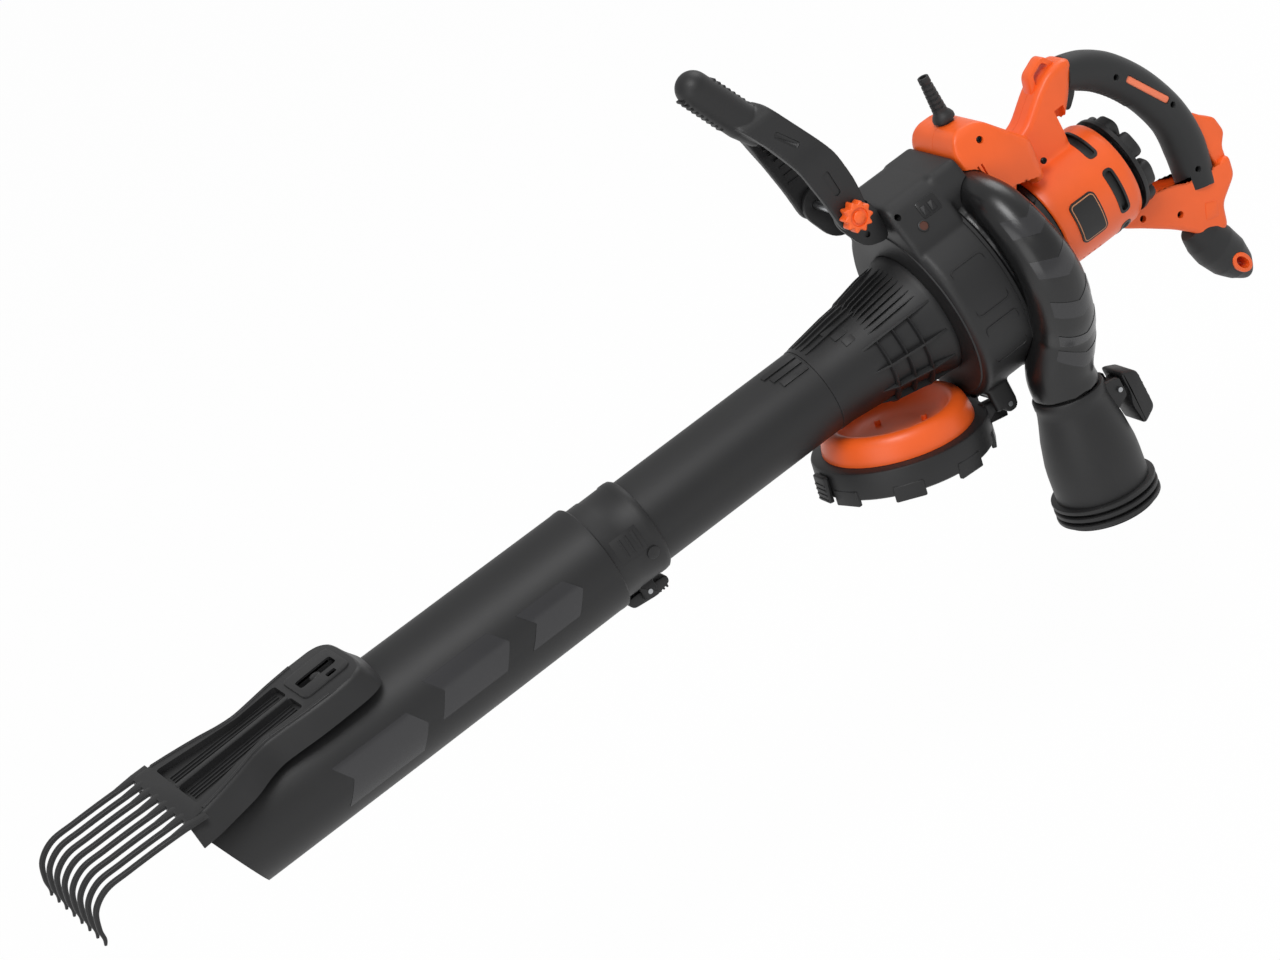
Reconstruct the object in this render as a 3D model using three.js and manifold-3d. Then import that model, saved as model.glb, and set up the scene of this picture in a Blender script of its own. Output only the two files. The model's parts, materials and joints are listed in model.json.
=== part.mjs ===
// Leaf vacuum mulcher: fan casing with scroll duct, motor body, handles, tube, rake and intake cover.
// Millimetres, +X from the motor along the tube to the mouth, +Z up on the handle side, +Y left.
// Shapes are drawn about the fan axis; the whole group then moves so its origin is the main grip.
import * as THREE from 'three';
import { mergeVertices } from 'three/addons/utils/BufferGeometryUtils.js';
import Module from 'manifold-3d';

const wasm = await Module();
wasm.setup();

// ---- driving dimensions ----
const gap = 0.3; // air left between touching pieces
const runGap = 0.2; // clearance of a pin in its hole
const wall = 3; // moulded casing wall
const grip = { centreX: -279, centreZ: 31, halfDepth: 20, halfWidth: 18, channel: 13 };
const fan = { radius: 100, frontX: 36, splitX: -24, hoodX: -52, inletR: 61, blockHalf: 42, hoodHalf: 54 };
fan.blockTop = fan.radius + 24;
const rear = { shoulderX: -52, backX: -88, hubR: 50 };
const duct = { startR: 14, endR: 33, x: -54, spiralR: fan.radius + 10 };
const outlet = { x: -31.5, tilt: 7, length: 105, throatR: 34, bellR: 46, collar: 24 };
outlet.y = fan.radius - 25;
outlet.z = -fan.radius - 22.5;
const outletPin = { x: -outlet.bellR - 25.5, z: outlet.z - 25.5 };
const motor = { radius: 55, frontX: -104, rearX: -206, ventX: -180, ventWidth: 9, ventSpan: 56.4 };
const tube = { upperR: 44, upperWall: 2.5, coneX: 60, startX: 165, upperEndX: 470 };
const lower = { rimX: 430, mouthX: 890, outerR: 54, wall: 3, collarX: 377, collarR: 49, mouthAngle: 21 };
const stroke = { rake: 12 };
const assist = { x: 64, z: 139, lugY: 27, lugThick: 6, armThick: 9, boltR: 4, knobR: 15, knobLength: 15 };
const cover = { x: 14, z: -fan.radius - 14, ringR: 87, ringDepth: 28, bellR: 70, rimR: 52, bellHeight: 26 };
cover.open = 78; // degrees from shut
cover.arm = cover.ringR + 13;
const rake = { length: 216, top: 67, rise: 8, thick: 5, tines: 8, pitch: 21.4, tineWidth: 7 };
rake.x = lower.mouthX - 218;
rake.tip = rake.x + 331;
const guardX = -79;
const guardSides = 16;
const pinR = 2.5;
const round = 24; // segments of a large circle
const fine = 12; // segments of a small one

// ---- finishes ----
function finish(color, roughness, metalness = 0) {
  return () => new THREE.MeshStandardMaterial({ color, roughness, metalness });
}
const orange = finish('#f2641f', 0.45);
const charcoal = finish('#2b2b2c', 0.55);
const glossBlack = finish('#1f1f20', 0.35);
const softGrip = finish('#2f3031', 0.8);
const salmon = finish('#ee7a55', 0.6);
const steel = finish('#9a9c9e', 0.35, 1);
const copper = finish('#b06a3a', 0.4, 1);
const brass = finish('#b89a55', 0.4, 1);

// ---- geometry helpers ----
function tidyMesh(geometry) {
  const bare = geometry.clone();
  bare.deleteAttribute('normal');
  bare.deleteAttribute('uv');
  const merged = mergeVertices(bare, 1e-3);
  const at = merged.index;
  const kept = [];
  for (let i = 0; i < at.count; i += 3) {
    const corner = [at.getX(i), at.getX(i + 1), at.getX(i + 2)];
    if (new Set(corner).size === 3) kept.push(...corner);
  }
  merged.setIndex(kept);
  return merged;
}

function signedVolume(geometry) {
  const [a, b, c] = [new THREE.Vector3(), new THREE.Vector3(), new THREE.Vector3()];
  let sum = 0;
  for (let i = 0; i < geometry.index.count; i += 3) {
    a.fromBufferAttribute(geometry.attributes.position, geometry.index.getX(i));
    b.fromBufferAttribute(geometry.attributes.position, geometry.index.getX(i + 1));
    c.fromBufferAttribute(geometry.attributes.position, geometry.index.getX(i + 2));
    sum += a.dot(b.cross(c));
  }
  return sum;
}

function solid(geometry) {
  const closed = tidyMesh(geometry);
  const triVerts = new Uint32Array(closed.index.array);
  if (signedVolume(closed) < 0) {
    for (let i = 0; i < triVerts.length; i += 3) {
      [triVerts[i], triVerts[i + 1]] = [triVerts[i + 1], triVerts[i]];
    }
  }
  const vertProperties = new Float32Array(closed.attributes.position.array);
  return new wasm.Manifold(new wasm.Mesh({ numProp: 3, vertProperties, triVerts }));
}

function join(first, ...others) {
  return others.reduce((whole, part) => whole.add(part), first);
}

function cut(first, ...tools) {
  return tools.reduce((whole, tool) => whole.subtract(tool), first);
}

function both(make) {
  return join(make(1), make(-1));
}

// A closed [radius, height] profile turned about an axis through the point (x, y, z).
function turned(profile, axis, [x, y, z] = [0, 0, 0], segments = round) {
  const points = profile.map(([r, h]) => new THREE.Vector2(r, h));
  const onAxis = profile[0][0] === 0 && profile[profile.length - 1][0] === 0;
  if (!onAxis) points.push(points[0].clone());
  const geometry = new THREE.LatheGeometry(points, segments);
  const up = new THREE.Vector3(0, 1, 0);
  const turn = new THREE.Quaternion().setFromUnitVectors(up, new THREE.Vector3(...axis).normalize());
  return solid(geometry.applyQuaternion(turn).translate(x, y, z));
}

const alongX = [1, 0, 0];
const alongY = [0, 1, 0];
const alongZ = [0, 0, 1];

function rod(radius, length, axis, centre, segments = fine) {
  const half = length / 2;
  return turned([[0, -half], [radius, -half], [radius, half], [0, half]], axis, centre, segments);
}

function ring(outer, inner, from, to, axis = alongX, centre = [0, 0, 0], segments = round) {
  return turned([[inner, from], [outer, from], [outer, to], [inner, to]], axis, centre, segments);
}

function box([x0, x1], [y0, y1], [z0, z1]) {
  const geometry = new THREE.BoxGeometry(x1 - x0, y1 - y0, z1 - z0);
  return solid(geometry.translate((x0 + x1) / 2, (y0 + y1) / 2, (z0 + z1) / 2));
}

function outline(points) {
  return new THREE.Shape(points.map(([a, b]) => new THREE.Vector2(a, b)));
}

function roundedOutline(points, radius) {
  const count = points.length;
  const shape = new THREE.Shape();
  points.forEach(([x, y], i) => {
    const here = new THREE.Vector2(x, y);
    const before = new THREE.Vector2(...points[(i + count - 1) % count]);
    const after = new THREE.Vector2(...points[(i + 1) % count]);
    const cornerIn = Math.min(radius, here.distanceTo(before) / 2.2);
    const cornerOut = Math.min(radius, here.distanceTo(after) / 2.2);
    const enter = here.clone().add(before.sub(here).setLength(cornerIn));
    const leave = here.clone().add(after.sub(here).setLength(cornerOut));
    if (i === 0) shape.moveTo(enter.x, enter.y);
    else shape.lineTo(enter.x, enter.y);
    shape.quadraticCurveTo(x, y, leave.x, leave.y);
  });
  return shape;
}

// A side-view outline (x, z) given a thickness from y = low to y = high.
function sidePlate(shape, low, high, curveSegments = 2) {
  const geometry = new THREE.ExtrudeGeometry(shape, { depth: high - low, bevelEnabled: false, curveSegments });
  return solid(geometry.rotateX(Math.PI / 2).translate(0, high, 0));
}

// An end-view outline (y, z) drawn out from x = low to x = high.
function endPlate(shape, low, high, curveSegments = 2) {
  const geometry = new THREE.ExtrudeGeometry(shape, { depth: high - low, bevelEnabled: false, curveSegments });
  const basis = new THREE.Matrix4().makeBasis(
    new THREE.Vector3(0, 1, 0), new THREE.Vector3(0, 0, 1), new THREE.Vector3(1, 0, 0));
  return solid(geometry.applyMatrix4(basis).translate(low, 0, 0));
}

// A closed skin through round or oval rings set square to a smooth spine.
function swept(points, sizes, sides = 16, steps = 3) {
  const spine = new THREE.CatmullRomCurve3(points.map((p) => new THREE.Vector3(...p)));
  const rings = (points.length - 1) * steps;
  const frames = spine.computeFrenetFrames(rings, false);
  const vertices = [];
  const faces = [];
  for (let i = 0; i <= rings; i += 1) {
    const along = i / rings * (sizes.length - 1);
    const from = Math.min(Math.floor(along), sizes.length - 2);
    const [wide, deep] = sizes[from].map((s, k) => THREE.MathUtils.lerp(s, sizes[from + 1][k], along - from));
    const centre = spine.getPoint(i / rings);
    const across = new THREE.Vector3(0, 1, 0).cross(spine.getTangent(i / rings)).normalize();
    const side = spine.getTangent(i / rings).cross(across).normalize();
    if (Math.abs(frames.tangents[i].y) > 0.2) across.copy(frames.normals[i]);
    if (Math.abs(frames.tangents[i].y) > 0.2) side.copy(frames.binormals[i]);
    for (let k = 0; k < sides; k += 1) {
      const angle = 2 * Math.PI * k / sides;
      const point = centre.clone().addScaledVector(across, wide * Math.cos(angle));
      vertices.push(...point.addScaledVector(side, deep * Math.sin(angle)).toArray());
    }
  }
  for (let i = 0; i < rings; i += 1) {
    for (let k = 0; k < sides; k += 1) {
      const [a, b] = [i * sides + k, i * sides + (k + 1) % sides];
      faces.push(a, b, b + sides, a, b + sides, a + sides);
    }
  }
  for (let k = 1; k < sides - 1; k += 1) {
    faces.push(0, k + 1, k);
    faces.push(rings * sides, rings * sides + k, rings * sides + k + 1);
  }
  const geometry = new THREE.BufferGeometry();
  geometry.setAttribute('position', new THREE.Float32BufferAttribute(vertices, 3));
  geometry.setIndex(faces);
  return solid(geometry);
}

function piece(name, shape, material, parent) {
  const mesh = shape.getMesh();
  const geometry = new THREE.BufferGeometry();
  geometry.setAttribute('position', new THREE.BufferAttribute(new Float32Array(mesh.vertProperties), 3));
  geometry.setIndex(new THREE.BufferAttribute(new Uint32Array(mesh.triVerts), 1));
  geometry.computeVertexNormals();
  const made = new THREE.Mesh(geometry, material());
  made.name = name;
  parent.add(made);
}

function polar(radius, degrees) {
  const angle = THREE.MathUtils.degToRad(degrees);
  return [radius * Math.sin(angle), radius * Math.cos(angle)];
}

const root = new THREE.Group();
const machine = new THREE.Group();
machine.position.set(-grip.centreX, 0, -grip.centreZ);
root.add(machine);

// ---- fan casing ----
function blockOutline(shrink) {
  const half = fan.blockHalf - shrink;
  const top = fan.blockTop - shrink;
  const foot = fan.radius * 0.68 - shrink;
  return roundedOutline([[-foot, 40], [foot, 40], [foot, 74], [half, top], [-half, top], [-foot, 74]], 6);
}

// The crest of the block, which reaches back over the rear shell.
function hoodOutline(shrink) {
  const slope = (fan.blockTop - 74) / (fan.radius * 0.68 - fan.blockHalf);
  const side = fan.hoodHalf - shrink;
  const top = fan.blockTop - shrink;
  const shoulder = fan.blockTop - (fan.hoodHalf - fan.blockHalf) * slope - shrink;
  const half = fan.blockHalf - shrink;
  return roundedOutline([
    [-side, 80], [side, 80], [side, shoulder], [half, top], [-half, top], [-side, shoulder]], 6);
}

function ductSolid(grow, beyond = 0) {
  const spin = [[12, -12, 2], [45, -4, 1], [70, -1, 0], [90, 1, 0], [110, -2, 2], [127, -3, 4]];
  const spiral = spin.map(([degrees, inset, forward]) => {
    const [y, z] = polar(duct.spiralR + inset, degrees);
    return [duct.x + forward, y, z];
  });
  const points = [...spiral, outletAt(-22), outletAt(beyond)];
  const radii = [duct.startR, 23, 27, 30, 31, 32, 32.5, duct.endR].map((r) => [r + grow, r + grow]);
  return swept(points, radii, 12, 2);
}

function rearShell(grow) {
  return turned([
    [0, fan.splitX - gap + grow], [fan.radius + grow, fan.splitX - gap + grow],
    [fan.radius + grow, rear.shoulderX], [93 + grow, -66], [66 + grow, -82],
    [rear.hubR + grow, rear.backX - grow], [0, rear.backX - grow],
  ].reverse(), alongX);
}

function fanCasingFront() {
  const drum = turned([
    [fan.inletR, fan.splitX], [fan.radius, fan.splitX], [fan.radius, fan.frontX - 5],
    [fan.radius - 5, fan.frontX], [fan.inletR, fan.frontX],
  ], alongX);
  const block = endPlate(blockOutline(0), fan.splitX, fan.frontX);
  const blockRoom = endPlate(blockOutline(wall), fan.splitX - 1, fan.frontX - wall);
  const hood = endPlate(hoodOutline(0), fan.hoodX, fan.splitX);
  const hoodRoom = endPlate(hoodOutline(wall), fan.hoodX + wall, fan.splitX + 1);
  const chamber = ring(fan.radius - wall, 0.01, fan.splitX - 1, fan.frontX - wall);
  const inlet = rod(fan.inletR, 20, alongX, [fan.frontX, 0, 0], round);
  const bosses = both((side) => box([4, 30], [side * 42 - 4, side * 42 + 4], [cover.z - 2, -84]));
  const cheeks = both((side) => rod(8, 8, alongY, [cover.x, side * 42, cover.z]));
  const pinHole = rod(pinR + runGap, 100, alongY, [cover.x, 0, cover.z]);
  const shell = cut(join(drum, block, hood, bosses, cheeks), chamber, blockRoom, hoodRoom, inlet, pinHole);
  return cut(shell, rearShell(gap), ductSolid(0.4));
}

function volute() {
  const outer = join(rearShell(0), ductSolid(0));
  const roomProfile = [
    [0, fan.splitX + 1], [fan.radius - wall, fan.splitX + 1], [fan.radius - wall, rear.shoulderX],
    [90, -64], [64, -79], [36, rear.backX + wall], [0, rear.backX + wall],
  ].reverse();
  const room = turned(roomProfile, alongX);
  const hub = rod(24, 20, alongX, [rear.backX, 0, 0], 24);
  return cut(outer, room, ductSolid(-wall, 4), hub);
}

// ---- bag outlet ----
function outletAxis() {
  const lean = THREE.MathUtils.degToRad(outlet.tilt);
  return [Math.sin(lean), 0, -Math.cos(lean)];
}

function outletAt(distance) {
  const [x, , z] = outletAxis();
  return [outlet.x + x * distance, outlet.y, outlet.z + z * distance];
}

function outletPipe() {
  const { throatR, bellR, length } = outlet;
  const pipe = turned([
    [throatR - wall, 0.6], [throatR, 0.6], [throatR + 1, 18], [bellR - 3, length - 52], [bellR, length - 26],
    [bellR, length], [bellR - wall, length], [bellR - wall, length - 26], [bellR - 3 - wall, length - 52],
    [throatR + 1 - wall, 18],
  ], outletAxis(), outletAt(0), round);
  const seat = both((side) => sidePlate(
    outline([
      [outletPin.x - 5.5, outletPin.z + 10], [-40, outletPin.z + 18], [-40, outletPin.z - 20],
      [outletPin.x - 5.5, outletPin.z - 10]]), outlet.y + side * 14 - 3,
    outlet.y + side * 14 + 3));
  const bore = turned([
    [0, -20], [throatR - wall, -20], [throatR - wall, 0.6], [throatR + 1 - wall, 18],
    [bellR - 3 - wall, length - 52], [bellR - wall, length - 26], [bellR - wall, length + 5], [0, length + 5],
  ], outletAxis(), outletAt(0), round);
  const pinHole = rod(pinR + runGap, 60, alongY, [outletPin.x, outlet.y, outletPin.z]);
  return cut(join(pipe, seat), bore, pinHole, ductSolid(gap));
}

function bagCollar() {
  const { bellR, length, collar } = outlet;
  const from = length + gap;
  const ribs = [0, 1, 2].flatMap((i) => [
    [bellR + 6, from + i * 8], [bellR + 6, from + i * 8 + 4], [bellR + 1, from + i * 8 + 5],
    [bellR + 1, from + i * 8 + 7],
  ]);
  return turned([[bellR - wall, from], ...ribs, [bellR + 1, from + collar], [bellR - wall, from + collar]],
    outletAxis(), outletAt(0), round);
}

function outletLatch() {
  const profile = [[-6.5, 14], [-25.5, 6], [-25.5, -38], [-6.5, -48], [-3.5, -22], [-7.5, -12]];
  const body = sidePlate(
    roundedOutline(profile.map(([x, z]) => [outletPin.x + x, outletPin.z + z]), 4), outlet.y - 20,
    outlet.y + 20);
  const knuckle = rod(5.5, 21, alongY, [outletPin.x, outlet.y, outletPin.z]);
  const bridge = box([outletPin.x - 12.5, outletPin.x - 0.5], [outlet.y - 10.5, outlet.y + 10.5],
    [outletPin.z - 5, outletPin.z + 5]);
  const seatRoom = both((side) => sidePlate(
    outline([
      [outletPin.x - 7.5, outletPin.z + 18], [-30, outletPin.z + 18], [-30, outletPin.z - 22],
      [outletPin.x - 7.5, outletPin.z - 22]]), outlet.y + side * 14 - 3.5, outlet.y + side * 14 + 3.5));
  const hole = rod(pinR + runGap, 60, alongY, [outletPin.x, outlet.y, outletPin.z]);
  return cut(join(cut(body, seatRoom), knuckle, bridge), hole);
}

// ---- motor body: two orange half shells ----
function shroud() {
  const top = roundedOutline([
    [fan.hoodX - 2 * gap, 60], [fan.hoodX - 2 * gap, fan.blockTop], [-64, fan.blockTop + 17],
    [-92, fan.blockTop + 15], [-121, 104], [-130, 94], [-126, 50], [-113, 50], [-107, 69], [-98, 66], [-86, 42],
    [-74, 42],
  ], 6);
  const crest = fan.blockTop + 22;
  const front = roundedOutline([[-48, 28], [-48, 104], [-36, crest], [36, crest], [48, 104], [48, 28]], 10);
  const side = sidePlate(top, -60, 60);
  return side.intersect(endPlate(front, -140, 0));
}

function frontPost() {
  const shape = roundedOutline([
    [-112, 60], [-124, 88], [-142, 93], [-168, 114], [-186, 125], [-208, 127], [-216, 121], [-197, 91],
    [-184, 76], [-176, 50], [-140, 40],
  ], 5);
  return sidePlate(shape, -18, 18);
}

function rearNeck() {
  const shape = roundedOutline([
    [-186, -28], [-206, -42], [-222, -50], [-249, -57], [-268, -66], [-300, -72], [-308, -60], [-322, -60],
    [-318, -82], [-294, -100], [-288, -123], [-262, -124], [-254, -108], [-234, -90], [-204, -68], [-186, -56],
  ], 5);
  return sidePlate(shape, -15, 15);
}

function barrel(radius, from, to) {
  return turned([[0, from], [radius - 2, from], [radius, from + 6], [radius + 0.5, (from + to) / 2],
    [radius, to - 8], [radius - 5, to], [0, to]], alongX);
}

function ventSlots() {
  const reach = motor.radius * Math.sin(THREE.MathUtils.degToRad(motor.ventSpan / 2));
  const cutter = endPlate(
    roundedOutline([[-reach, 0], [reach, 0], [reach, 90], [-reach, 90]], 3), 0, motor.ventWidth);
  const angles = [-22, 22, 90, 158, 202, 270];
  return join(...angles.map((degrees) => {
    const half = motor.ventWidth / 2;
    return cutter.rotate([-degrees, 0, 0]).translate([motor.ventX - half, 0, 0]);
  }));
}

function motorHousing() {
  const { radius, frontX, rearX } = motor;
  const outer = join(shroud(), frontPost(), rearNeck(), barrel(radius, rearX, frontX));
  const bore = rod(radius - wall, 400, alongX, [rearX + 200 - 8, 0, 0], round)
    .intersect(box([rearX - 8, frontX + 30], [-90, 90], [-90, 90]));
  const postHollow = [[-122, 62], [-128, 82], [-144, 87], [-190, 117], [-199, 112], [-180, 62]];
  const postRoom = sidePlate(outline(postHollow), -13, 13);
  const switchRoom = box([-108, fan.hoodX - 6], [-30, 30], [fan.blockTop - 26, fan.blockTop + 8]);
  const guardSeat = rod(8 + gap, 30, alongZ, [guardX, 0, fan.blockTop + 14], guardSides);
  const triggerSlot = box([-204, -176], [-5, 5], [60, 100]);
  const slots = ventSlots().subtract(join(sidePlate(outline([
    [-250, 50], [-150, 50], [-150, 200], [-250, 200]]), -17, 17), box([-240, -184], [-15, 15], [-80, -20])));
  return cut(outer, bore, rearShell(0.4), ductSolid(0.6), neckRing(0.4), postRoom, switchRoom, guardSeat,
    triggerSlot, slots, gripSolid(0.3, 0), tailSolid(0.4), triggerRoom());
}

function half(shape, side) {
  const far = 400;
  const depth = side > 0 ? [gap / 2, far] : [-far, -gap / 2];
  return shape.intersect(box([-far, far], depth, [-far, far]));
}

function neckRing(grow) {
  const outer = rear.hubR + 2 + grow;
  return turned([[0, motor.frontX + 6], [outer, motor.frontX + 6], [outer, rear.backX - gap + grow],
    [0, rear.backX - gap + grow]], alongX);
}

function motorNeck() {
  const inner = rod(rear.hubR - 2, 60, alongX, [rear.backX - 8, 0, 0], round);
  const web = ring(rear.hubR + 1, 13 + gap, -96, -93);
  const slot = box([-4, 4], [-7, 7], [rear.hubR - 6, rear.hubR + 8]);
  const slots = [-100, -60, 60, 100, 140, 220].map((degrees) => (
    slot.rotate([-degrees, 0, 0]).translate([rear.backX - 5, 0, 0])));
  const shell = cut(neckRing(0).intersect(box([-97.5, 0], [-90, 90], [-90, 90])), inner);
  return cut(join(shell, web), ...slots);
}

function rearCap() {
  const { radius, rearX } = motor;
  const rim = radius - wall - gap;
  const plate = join(ring(rim, 9, rearX - 8, rearX - 4), ring(rim, rim - wall, rearX - 5, rearX + 5));
  const seat = ring(15.5, 11 + gap, rearX - 4.5, rearX + 4, alongX, [0, 0, 0], 16);
  const lobes = [35, 90, 145, 215, 270, 325].map((degrees) => {
    const [y, z] = polar(radius - 20, degrees);
    return rod(9, 16, alongX, [rearX - 10, y, z], 8);
  });
  return join(plate, seat, ...lobes);
}

// ---- handles ----
function gripSolid(grow, channel) {
  const points = [[-206, 0, 109], [-226, 0, 100], [-246, 0, 84], [-265, 0, 59], [-279, 0, 31],
    [-288, 0, 1], [-289, 0, -30], [-284, 0, -64]];
  const ends = [17, 19, 20, 20, 20, 20, 21, 19].map((deep) => (channel
    ? [channel, channel - 2]
    : [deep * grip.halfDepth / 20 + grow, grip.halfWidth + grow]));
  return swept(points, ends, 12, 2);
}

function gripHalf(side) {
  const body = cut(gripSolid(0, 0), gripSolid(0, grip.channel), inlayBar(gap), triggerRoom());
  return half(body, side);
}

function inlayBar(grow) {
  const shape = roundedOutline([
    [-244 + grow, 104 + grow], [-240 + grow, 96 - grow], [-276 - grow, 56 - grow], [-280 - grow, 62 + grow],
  ], 3);
  return sidePlate(shape, -grip.halfWidth - 2, grip.halfWidth + 2);
}

function inlay(side) {
  const skin = cut(gripSolid(0, 0), gripSolid(-2, 0));
  const bar = half(skin.intersect(inlayBar(0)), side);
  return bar.intersect(box([-300, -220], side > 0 ? [8, 40] : [-40, -8], [40, 120]));
}

function triggerRoom() {
  return sidePlate(outline([[-190, 62], [-174, 70], [-196, 112], [-222, 106], [-214, 80]]), -5.5, 5.5);
}

function trigger() {
  const blade = sidePlate(
    roundedOutline([[-200, 103], [-212, 91], [-207, 84], [-196, 74], [-190, 80], [-196, 96]], 3), -5, 5);
  return cut(blade, rod(2 + runGap, 20, alongY, [-201.5, 0, 96]));
}

function strapHook() {
  const body = sidePlate(roundedOutline([[-164, 104], [-171, 129], [-193, 139], [-205, 123]], 5), -8, 8);
  const hole = sidePlate(roundedOutline([[-174, 117], [-176, 127.5], [-190, 133.8], [-195, 127]], 2), -20, 20);
  const post = [
    [-112, 60], [-124, 88.3], [-142, 93.4], [-168, 114.4], [-186, 125.4], [-208, 127.4], [-216, 60]];
  return cut(body, hole, sidePlate(outline(post), -18, 18));
}

function rearHook() {
  const profile = [
    [-298, -6], [-307, -2], [-318, -14], [-328, -22], [-331, -40], [-322, -52], [-320, -64], [-306, -64],
    [-302, -30]];
  const body = sidePlate(roundedOutline(profile, 4), -9, 9);
  return cut(body, gripSolid(gap, 0), sidePlate(outline([
    [-290, -60 + gap], [-340, -60 + gap], [-340, -120], [-290, -120]]), -40, 40));
}

function tailSolid(grow) {
  const sizes = [[14, 12], [21, 19], [23.5, 21.5], [22, 20], [16, 15], [5, 5]];
  const points = [
    [-257, 0, -106], [-264, 0, -120], [-271, 0, -136], [-279, 0, -154], [-286, 0, -170], [-291, 0, -184]];
  return swept(points, sizes.map((s) => s.map((r) => r + grow)), 12, 2);
}

function tailGrip() {
  const eye = sidePlate(eyeOutline(13.3, 9.3), -40, 40);
  return cut(tailSolid(0), eye);
}

function eyeOutline(long, short) {
  const shape = new THREE.Shape();
  shape.absellipse(0, 0, long, short, 0, 2 * Math.PI, false, THREE.MathUtils.degToRad(62));
  return outline(shape.getPoints(5).slice(0, -1).map((p) => [p.x - 281, p.y - 160]));
}

function tailEyelet() {
  return cut(sidePlate(eyeOutline(13, 9), -21, 21), sidePlate(eyeOutline(9, 5), -40, 40));
}

function lug(side) {
  const low = side > 0 ? assist.lugY : -assist.lugY - assist.lugThick;
  const shape = roundedOutline([
    [fan.frontX + gap, 92], [64, 100], [80, 136], [70, 154], [52, 156], [fan.frontX + gap, 130]], 9);
  const plate = sidePlate(shape, low, low + assist.lugThick);
  return cut(plate, rod(assist.boltR + runGap, 200, alongY, [assist.x, 0, assist.z]));
}

function assistHandle() {
  const inner = assist.lugY + assist.lugThick + 0.8;
  const outer = inner + assist.armThick;
  const profile = roundedOutline([
    [50, 127], [64, 121], [78, 129], [82, 163], [89, 202], [100, 236], [114, 264], [139, 312], [134, 326],
    [116, 330], [102, 314], [82, 276], [57, 219], [49, 198], [45, 168], [46, 140]], 9);
  const fork = roundedOutline([
    [-outer, 110], [-outer, 208], [-18, 272], [-16, 340], [16, 340], [18, 272], [outer, 208], [outer, 110]], 9);
  const slot = roundedOutline([
    [-inner, 90], [-inner, 203], [-10, 250], [10, 250], [inner, 203], [inner, 90]], 8);
  const body = sidePlate(profile, -outer, outer).intersect(endPlate(fork, 20, 160));
  return cut(body, endPlate(slot, 0, 180), rod(assist.boltR + runGap, 200, alongY, [assist.x, 0, assist.z]));
}

const armFace = assist.lugY + assist.lugThick + 0.8 + assist.armThick;

function assistBolt() {
  const shank = rod(assist.boltR, 2 * armFace + 18, alongY, [assist.x, 3, assist.z]);
  const head = rod(9, 5, alongY, [assist.x, -armFace - 2.5 - gap, assist.z], 6);
  return join(shank, head);
}

function assistKnob() {
  const flutes = new THREE.Shape();
  const count = 10;
  for (let i = 0; i < 2 * count; i += 1) {
    const [a, b] = polar(i % 2 ? assist.knobR - 2.2 : assist.knobR, i * 180 / count);
    if (i === 0) flutes.moveTo(a + assist.x, b + assist.z);
    else flutes.lineTo(a + assist.x, b + assist.z);
  }
  const low = armFace + gap;
  const body = sidePlate(flutes, low, low + assist.knobLength);
  return cut(body, rod(assist.boltR + runGap, 26, alongY, [assist.x, armFace, assist.z]));
}

// ---- vacuum tube ----
function inletAdapter() {
  const { coneX, startX, upperR, upperWall } = tube;
  const inner = upperR - upperWall;
  const skin = turned([
    [fan.inletR - 5, fan.frontX - 6], [fan.inletR - gap, fan.frontX - 6], [fan.inletR - gap, fan.frontX + gap],
    [fan.inletR + 3, fan.frontX + gap], [fan.inletR + 3, fan.frontX + 5], [58, coneX], [upperR + 4, 120],
    [upperR + 0.5, startX], [inner, startX], [upperR + 1, 120], [54, coneX],
  ], alongX);
  const ribs = [66, 92].map((x, i) => ring(61 - i * 4, 46, x, x + 2.4));
  const rails = [60, 105].flatMap((degrees) => [degrees, -degrees]).map((degrees) => (
    box([50, 104], [-1.2, 1.2], [46, 58]).rotate([-degrees, 0, 0])));
  const bore = turned([
    [0, fan.frontX - 10], [fan.inletR - 5, fan.frontX - 10], [fan.inletR - 5, fan.frontX - 6], [54, coneX],
    [upperR + 1, 120], [inner, startX], [inner, startX + 5], [0, startX + 5]], alongX);
  return cut(join(skin, ...ribs, ...rails), bore);
}

function upperTube() {
  const { startX, upperR, upperWall, upperEndX } = tube;
  return ring(upperR, upperR - upperWall, startX + gap, upperEndX);
}

function tubeCollar() {
  const bore = tube.upperR + 0.6;
  const skin = turned([
    [bore, lower.collarX], [lower.collarR - 1.5, lower.collarX], [lower.collarR, lower.collarX + 4],
    [lower.collarR, lower.rimX + 28], [bore, lower.rimX + 28],
  ], alongX);
  const ears = both((side) => box([396, 412], [side * 12 - 2.5, side * 12 + 2.5], [-62, -46]));
  const hole = rod(pinR + runGap, 60, alongY, [404, 0, -56]);
  return cut(join(skin, ears), hole, rod(bore, 120, alongX, [lower.rimX, 0, 0], round));
}

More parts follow.
